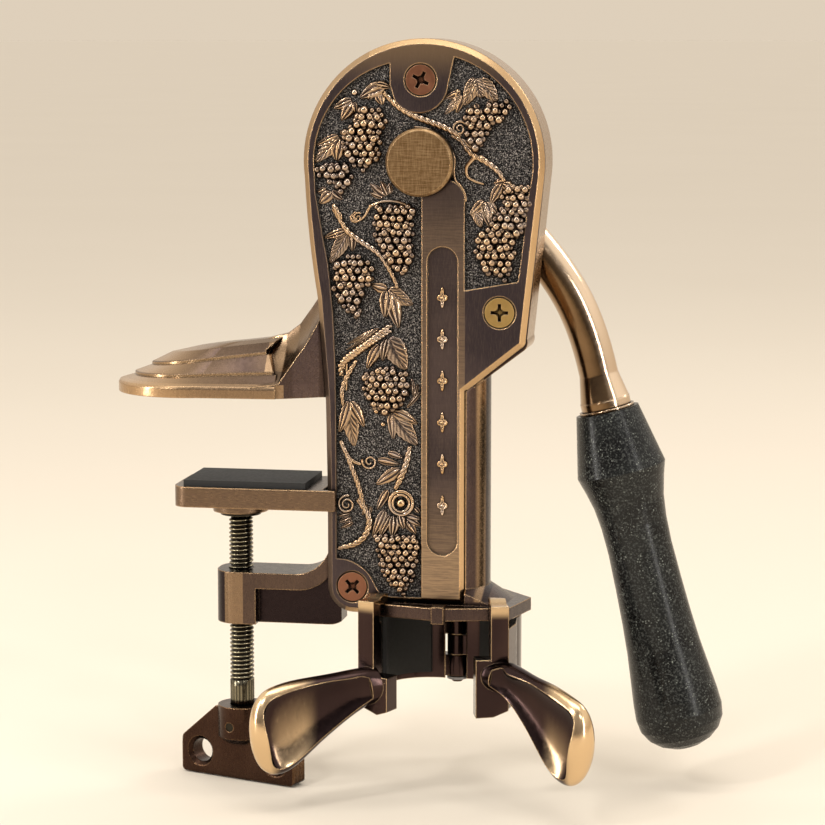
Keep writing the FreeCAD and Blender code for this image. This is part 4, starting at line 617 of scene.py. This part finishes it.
def cluster(crop, outline, r=1.30, pitch=3.0):
    """Big rubbed grapes on top, smaller dark ones filling in beneath and round the rim."""
    poly = [at(crop, *p) for p in outline]
    xs, zs = [p[0] for p in poly], [p[1] for p in poly]
    cx, cz = sum(xs) / len(xs), sum(zs) / len(zs)
    reach = max(max(xs) - min(xs), max(zs) - min(zs)) / 2
    for layer, gap, size, low, high in ((0, pitch * 0.66, r * 0.86, 0.20, 0.55), (1, pitch * 0.88, r * 1.04, 0.70, 0.60)):
        row, z = 0, min(zs) + (0.3 if layer == 0 else 1.0)
        while z < max(zs):
            x = min(xs) + (row % 2) * gap / 2 + (0.0 if layer == 0 else 0.5)
            while x < max(xs):
                q = (x + random.uniform(-0.16, 0.16) * gap, z + random.uniform(-0.14, 0.14) * gap)
                near = inside(q, poly) and (layer == 0 or all(inside((q[0] + dx, q[1] + dz), poly) for dx, dz in ((0.7, 0), (-0.7, 0), (0, 0.7), (0, -0.7))))
                if near:
                    middle = clamp01(1 - math.hypot(q[0] - cx, (q[1] - cz) * 0.72) / (reach + 0.3))
                    ball(grapes, q[0], q[1], low + high * clamp01(middle * 1.6) + random.uniform(-0.08, 0.14), size * random.uniform(0.86, 1.08),
                         random.uniform(0.15, 0.32) if layer == 0 else random.uniform(0.36, 0.62))
                x += gap
            z += gap * 0.86
            row += 1


cluster("a", [(335, 262), (430, 285), (505, 300), (505, 365), (465, 400), (465, 560), (360, 645), (300, 610), (255, 520), (225, 420), (300, 350)])
cluster("a", [(95, 610), (250, 600), (310, 640), (300, 700), (275, 775), (215, 760), (185, 720), (95, 700)])
cluster("a", [(965, 275), (1090, 262), (1215, 235), (1215, 305), (1135, 385), (1085, 445), (1045, 530), (1000, 525), (965, 440), (955, 340)])
cluster("b", [(1180, -150), (1330, -150), (1335, -20), (1300, 120), (1245, 235), (1235, 330), (1205, 410), (1140, 405), (1055, 350), (1020, 270), (1005, 170), (1060, 115), (1150, 30)])
cluster("b", [(432, -20), (665, -20), (665, 160), (645, 330), (625, 400), (575, 375), (515, 300), (475, 240), (432, 150)])
cluster("b", [(200, 320), (250, 275), (350, 255), (415, 300), (425, 405), (375, 475), (362, 560), (345, 625), (300, 610), (235, 540), (185, 430)])
cluster("c", [(450, 330), (520, 330), (640, 285), (780, 350), (825, 440), (795, 570), (690, 660), (610, 700), (530, 660), (470, 560), (415, 430)], 1.22, 2.8)
cluster("d", [(435, 205), (700, 200), (725, 300), (690, 430), (650, 560), (620, 600), (585, 565), (540, 500), (485, 430), (465, 300)], 1.20, 2.7)
for crop, x, y, r in (("a", 315, 188, 1.1), ("c", 600, 780, 0.8), ("c", 545, 672, 0.9), ("d", 628, 590, 0.7), ("d", 632, 625, 0.55), ("b", 335, 605, 0.9), ("a", 1010, 520, 0.7)):
    gx, gz = at(crop, x, y)
    ball(grapes, gx, gz, 0.35, r)

LOBES = [
    # crop, base, tip, width in the crop's pixels, height, ridges
    ("a", (490, 150), (345, 222), 84, 1.7, 5), ("a", (430, 142), (528, 160), 50, 1.9, 4), ("a", (455, 185), (478, 262), 60, 1.0, 4), ("a", (408, 190), (392, 232), 40, 1.5, 3),
    ("a", (300, 232), (192, 282), 58, 1.6, 4), ("a", (306, 245), (238, 352), 70, 1.8, 5), ("a", (300, 245), (322, 305), 46, 1.5, 4),
    ("a", (222, 438), (88, 498), 46, 1.2, 5), ("a", (236, 452), (80, 598), 84, 1.5, 6), ("a", (236, 456), (212, 590), 86, 1.9, 5),
    ("a", (182, 768), (108, 838), 62, 1.0, 4), ("a", (180, 762), (244, 812), 46, 1.0, 4), ("a", (150, 745), (96, 768), 36, 0.8, 3),
    ("a", (498, 790), (402, 716), 44, 0.9, 5), ("a", (505, 790), (462, 700), 40, 0.9, 5), ("a", (520, 780), (512, 712), 34, 0.8, 4), ("a", (480, 800), (400, 770), 30, 0.8, 4),
    ("a", (1018, 102), (948, 268), 84, 1.7, 7), ("a", (1022, 108), (1062, 222), 90, 2.0, 6), ("a", (1040, 110), (1146, 244), 92, 1.6, 6),
    ("a", (930, 178), (832, 226), 34, 0.9, 4), ("a", (936, 200), (836, 318), 50, 1.1, 6), ("a", (940, 210), (905, 310), 46, 1.1, 5), ("a", (918, 168), (900, 228), 34, 0.9, 4),
    ("a", (1012, 255), (1030, 300), 44, 1.4, 3), ("a", (1085, 240), (1130, 285), 46, 1.6, 3),
    ("a", (1170, 720), (1104, 838), 62, 1.3, 5), ("a", (1176, 716), (1248, 766), 56, 1.8, 3), ("a", (1185, 700), (1120, 720), 34, 1.1, 3),
    ("a", (1066, 818), (985, 905), 60, 1.2, 5), ("a", (1074, 822), (1104, 945), 74, 1.5, 5), ("a", (1090, 835), (1150, 905), 52, 1.2, 4),
    ("b", (1012, -14), (1050, 108), 62, 1.3, 6), ("b", (1066, -20), (1110, 112), 58, 1.6, 5),
    ("b", (268, 118), (134, 164), 50, 1.5, 4), ("b", (272, 128), (168, 312), 84, 1.2, 7), ("b", (298, 128), (302, 244), 48, 1.7, 3),
    ("b", (330, 60), (300, 25), 30, 0.9, 3),
    ("b", (505, 462), (408, 432), 56, 1.1, 4), ("b", (505, 468), (492, 628), 88, 1.9, 5), ("b", (512, 458), (656, 552), 84, 1.4, 6), ("b", (520, 480), (572, 690), 84, 1.8, 5),
    ("b", (460, 690), (268, 782), 30, 0.8, 9), ("b", (430, 720), (262, 815), 26, 0.8, 8),
    ("c", (572, 118), (468, 326), 92, 1.5, 5), ("c", (632, 72), (598, 262), 80, 1.9, 4), ("c", (648, 62), (792, 336), 176, 1.3, 6),
    ("c", (836, 400), (852, 560), 34, 1.0, 4), ("c", (886, 446), (856, 590), 34, 1.0, 4), ("c", (908, 510), (790, 650), 40, 1.0, 5),
    ("c", (672, 680), (684, 906), 84, 1.0, 3), ("c", (680, 676), (888, 778), 92, 1.3, 4), ("c", (690, 700), (886, 956), 150, 1.3, 6),
    ("c", (318, 588), (236, 854), 92, 1.5, 4), ("c", (326, 588), (446, 806), 88, 1.3, 4), ("c", (318, 640), (362, 968), 130, 0.9, 6),
    ("c", (552, 1072), (742, 1110), 60, 1.2, 3), ("c", (640, 1014), (768, 1058), 54, 1.1, 3), ("c", (740, 1148), (540, 1280), 96, 0.8, 5),
    ("c", (640, 1322), (548, 1490), 66, 1.2, 3),
    ("d", (510, 60), (436, 228), 62, 1.3, 3), ("d", (545, 92), (478, 226), 56, 1.5, 3), ("d", (566, 96), (552, 232), 66, 1.9, 3), ("d", (598, 92), (628, 178), 56, 1.6, 3),
    ("d", (640, 96), (728, 118), 44, 1.2, 3), ("d", (644, 116), (728, 158), 44, 1.2, 3), ("d", (640, 128), (700, 208), 50, 1.3, 3), ("d", (690, 50), (722, 82), 34, 1.5, 2),
    ("d", (300, 82), (222, 98), 30, 0.9, 2), ("d", (310, 108), (228, 140), 30, 0.9, 3), ("d", (318, 132), (240, 172), 28, 0.9, 3),
    ("d", (400, 30), (372, 96), 26, 0.8, 3), ("d", (428, 40), (404, 108), 26, 0.8, 3),
]
SCALE = {"a": 5.807, "b": 5.807, "c": 8.25, "d": 6.03}
PX = FOCAL / 880.0  # pixels per millimetre at the cover
for crop, base, tip, width, out, ridges in LOBES:
    leaf(leaves, at(crop, *base), at(crop, *tip), width / SCALE[crop] / PX * 1.15, out * 0.85, float(ridges), random.uniform(-0.08, 0.08),
         random.uniform(0.82, 1.0), fold=ridges < 6)

ROPES = [
    ("a", [(485, 190), (560, 262), (650, 318), (760, 362), (850, 398), (932, 446)], 1.15),
    ("a", [(936, 470), (1000, 548), (1080, 592), (1150, 648), (1186, 705)], 1.05),
    ("a", [(880, 440), (960, 480), (1010, 520)], 0.7),
    ("a", [(190, 838), (215, 880), (240, 925)], 0.95),
    ("b", [(190, -8), (270, 118), (335, 172), (450, 250), (505, 322), (545, 402), (565, 455)], 0.95),
    ("b", [(525, 668), (400, 770), (262, 880), (248, 925)], 1.35),
    ("c", [(660, 2), (470, 116), (268, 268), (256, 380)], 1.45),
    ("c", [(380, 250), (300, 390), (262, 500), (270, 625)], 0.85),
    ("c", [(822, 960), (792, 1100), (742, 1230), (700, 1315)], 1.15),
    ("c", [(262, 930), (330, 1100), (398, 1290), (450, 1490)], 0.95),
    ("d", [(345, -4), (412, 100), (400, 198), (336, 262), (228, 292)], 1.15),
]
for crop, pts, width in ROPES:
    thick = width > 1.25
    rope(vines, [at(crop, *p) for p in pts], 0.50, width * 0.92, 2.7 if thick else 6.0, strands=2 if thick else 3)

BARS = [
    # plain tendrils: crop, points, radius at the start and end
    ("a", [(1010, 568), (968, 620), (970, 672), (1008, 702), (1066, 722)], 0.75, 0.30),
    ("a", [(1010, 568), (1050, 560), (1086, 588)], 0.55, 0.4),
    ("a", [(398, 852), (478, 822), (560, 824), (640, 850)], 0.45, 0.35),
    ("b", [(300, 30), (330, 60), (300, 66), (292, 40), (320, 10)], 0.35, 0.2),
    ("b", [(410, -30), (370, 40), (318, 70), (296, 46)], 0.5, 0.3),
    ("c", [(250, 915), (290, 1010), (350, 1080), (416, 1110)], 0.75, 0.55),
    ("c", [(300, 270), (300, 400), (296, 500)], 0.4, 0.3),
]
for crop, pts, r0, r1 in BARS:
    line = smooth_path(flat_path([at(crop, *p) for p in pts], 0.45), 0.3)
    tube(vines, line, [r0 + (r1 - r0) * i / (len(line) - 1) for i in range(len(line))], 8, 0.9)


def curl(crop, x, y, r, turns=1.6, phase=0.0, thick=0.42, hand=1):
    """A spiral tendril about a point."""
    cx, cz = at(crop, x, y)
    r = r / SCALE[crop] / PX
    n = int(26 * turns)
    line = [Vector((cx + r * (1 - 0.8 * i / n) * math.cos(phase + hand * 2 * math.pi * turns * i / n),
                    cz + r * (1 - 0.8 * i / n) * math.sin(phase + hand * 2 * math.pi * turns * i / n), 0.45 + 0.3 * i / n)) for i in range(n + 1)]
    tube(vines, line, [thick * (1 - 0.45 * i / n) for i in range(n + 1)], 8, 0.9)


curl("a", 925, 398, 44, 1.7, 0.3)
curl("c", 490, 1088, 66, 1.5, 2.8)
curl("c", 300, 1440, 78, 1.9, 1.2, 0.45)
curl("b", 335, 45, 30, 1.3, 1.0, 0.35)
bx, bz = at("c", 750, 1430)
for r, thick, out in ((98, 0.62, 0.6), (70, 0.42, 0.95)):
    rr = r / 8.25 / PX
    ring = [Vector((bx + rr * math.cos(a), bz + rr * math.sin(a), out)) for a in [2 * math.pi * i / 40 for i in range(41)]]
    tube(vines, ring, thick, 8, 0.95)
ball(grapes, bx, bz, 0.6, 1.55, 1.0, 20, 12)

BEADS = [[(640, 488), (700, 494), (762, 520), (815, 570), (850, 620), (866, 670), (862, 740), (872, 786), (905, 822), (926, 868), (928, 905)]]
for line in BEADS:
    line = smooth_path(flat_path([seen(300 + x / 5.6, 40 + y / 5.6, LEVEL) for x, y in line], 0.95), 0.3)
    tube(vines, line, 0.36, 8, 0.9)

# six small raised lozenges stand down the sunk panel of the strip
marks = Soup()
for k in range(6):
    mx, mz = seen(442.0, 298.0 + 41.6 * k, FACE)
    pts, ws = [], []
    outer = []
    for j in range(32):
        a = 2 * math.pi * j / 32
        petal = 0.72 + 0.28 * math.cos(4 * a)
        outer.append((1.75 * petal * math.cos(a), 3.35 * petal * math.sin(a)))
    rings = ((1.0, -0.15, 0.1), (1.0, 0.50, 0.85), (0.86, 0.72, 1.0), (0.62, 0.66, 0.65), (0.52, 0.40, 0.25), (0.30, 0.45, 0.45), (0.16, 0.75, 0.9), (0.02, 0.82, 1.0))
    for scale, out, wear in rings:
        for x, z in outer:
            pts.append((mx + x * scale, FACE + 0.9 - out, mz + z * scale))
            ws.append(wear)
    marks.grid(pts, len(rings), 32, ws, True)

# the clamp screw with its thread and splined neck
AXIS_X = -31.3
PITCH, CREST, ROOT = 1.41, 3.97, 3.32
thread = Soup()


def lathe(s, stations, sides, wear):
    """Rings about the clamp screw's axis; a station is (z, function of the angle giving the radius)."""
    pts, ws = [], []
    for z, radius in stations:
        for j in range(sides):
            a = 2 * math.pi * j / sides
            r = radius(a, z)
            pts.append((AXIS_X + r * math.cos(a), r * math.sin(a), z))
            ws.append(wear(r, a, z))
    s.grid(pts, len(stations), sides, ws, True)


def thread_radius(a, z):
    f = (z / PITCH - a / (2 * math.pi)) % 1.0
    tri = 1 - abs(2 * f - 1)
    return ROOT + (CREST - ROOT) * clamp01(tri * 1.35 - 0.12)


def spline_radius(a, z):
    return 3.72 + 0.22 * (0.5 + 0.5 * math.cos(22 * a))


low_z, neck_low, neck_high, top_z = -103.4, -103.3, -95.2, -41.6
stations = [(-113.4, lambda a, z: 0.01), (-113.4, lambda a, z: 3.6), (-103.6, lambda a, z: 3.6)]
stations += [(-103.5 + 8.3 * k / 4, spline_radius) for k in range(5)]
steps = int((top_z - neck_high) / (PITCH / 9))
stations += [(neck_high + 0.1 + (top_z - neck_high - 0.1) * k / steps, thread_radius) for k in range(steps + 1)]
stations += [(-41.0, lambda a, z: 3.2), (-40.9, lambda a, z: 2.99), (-30.4, lambda a, z: 2.99), (-30.32, lambda a, z: 2.8), (-30.32, lambda a, z: 0.01)]
lathe(thread, stations, 44, lambda r, a, z: clamp01((r - 3.62) / 0.30) * 0.85 if z > neck_high else clamp01((r - 3.78) / 0.12) * 0.6)
thread_piece = thread.make("clamp_screw_thread", M["oiled"], "clamp_screw", "clamp_steel")
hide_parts("clamp_screw")

ridges = Soup()
turn = math.radians(-20.0)
for end in (-1, 1):
    for k in range(8):
        off = -2.9 + 5.8 * k / 7
        pts, ws = [], []
        for z, r in ((-127.2, 0.05), (-127.0, 0.42), (-118.4, 0.42), (-118.1, 0.05)):
            for j in range(8):
                a = 2 * math.pi * j / 8
                x, y = end * (21.72 + r * math.cos(a)), off + r * math.sin(a)
                pts.append((AXIS_X + x * math.cos(turn) - y * math.sin(turn), x * math.sin(turn) + y * math.cos(turn), z))
                ws.append(0.35 * clamp01(math.cos(a)))
        ridges.grid(pts, 4, 8, ws, True)
ridges.make("knob_end_ridges", M["knob"], "clamp_screw", "clamp_metal")

grapes.make("relief_grapes", M["relief"], "body", "embossed_cover")
leaves.make("relief_leaves", M["relief"], "body", "embossed_cover")
vines.make("relief_vines", M["relief"], "body", "embossed_cover")
marks.make("panel_lozenges", M["relief"], "body", "embossed_cover")

# ---------------------------------------------------------------- floor and light
floor_m, t, b, obj = start("floor_plaster")
t.links.new(mixc(t, noise(t, obj, 3.0, 2.0), (0.74, 0.665, 0.560), (0.765, 0.690, 0.585)), b.inputs["Base Color"])
b.inputs["Roughness"].default_value = 0.9
me = bpy.data.meshes.new("floor")
n = 96
me.from_pydata([(60 * math.cos(2 * math.pi * i / n), 60 * math.sin(2 * math.pi * i / n), -0.1285) for i in range(n)], [], [tuple(range(n))])
floor = bpy.data.objects.new("floor", me)
bpy.context.scene.collection.objects.link(floor)
me.materials.append(floor_m)

world = bpy.data.worlds.new("studio")
bpy.context.scene.world = world
world.use_nodes = True
wt = world.node_tree
wt.nodes.clear()
wo = nd(wt, "OutputWorld")
bg = nd(wt, "Background")
wt.links.new(bg.outputs[0], wo.inputs[0])
wv = nd(wt, "SeparateXYZ", {0: nd(wt, "TexCoord").outputs["Generated"]})
front = span(wt, wv.outputs[1], -0.25, -0.62)
height = span(wt, wv.outputs[2], 0.02, 0.45)
sky = mixc(wt, height, (0.735, 0.628, 0.496), (1.12, 1.05, 0.95))
room = mixc(wt, height, (0.20, 0.185, 0.185), (0.42, 0.40, 0.39))
wt.links.new(mixc(wt, front, sky, room), bg.inputs[0])
bg.inputs[1].default_value = 1.0


def lamp(name, where, aim, size, power, colour=(1, 1, 1)):
    d = bpy.data.lights.new(name, "AREA")
    d.shape = "RECTANGLE"
    d.size, d.size_y = size
    d.energy = power
    d.color = colour
    o = bpy.data.objects.new(name, d)
    bpy.context.scene.collection.objects.link(o)
    o.location = where
    o.rotation_mode = "QUATERNION"
    o.rotation_quaternion = (Vector(aim) - Vector(where)).to_track_quat("-Z", "Y")
    return o


lamp("key", (-0.62, -0.95, 0.95), (0.06, 0, 0.02), (0.18, 0.18), 5.0, (1.0, 0.98, 0.95))
lamp("strip_left", (-0.80, -0.45, 0.20), (0.06, 0, 0.0), (0.09, 0.80), 4.0, (1.0, 0.97, 0.93))
lamp("strip_right", (0.95, -0.62, 0.15), (0.06, 0, -0.03), (0.07, 0.75), 3.0, (1.0, 0.97, 0.93))
lamp("top", (0.05, -0.35, 1.3), (0.06, 0, 0.0), (1.2, 0.45), 6.0, (1.0, 0.98, 0.94))
lamp("rim", (0.95, 0.75, 0.85), (0.12, 0, 0.02), (0.40, 0.40), 3.6, (1.0, 0.95, 0.88))
lamp("glint", (0.80, -1.20, 0.95), (0.06, 0, 0.0), (0.12, 0.12), 2.0, (1.0, 0.98, 0.95))

bpy.context.scene.view_settings.view_transform = "Standard"
bpy.context.scene.view_settings.look = "None"
bpy.context.scene.view_settings.exposure = 0.0
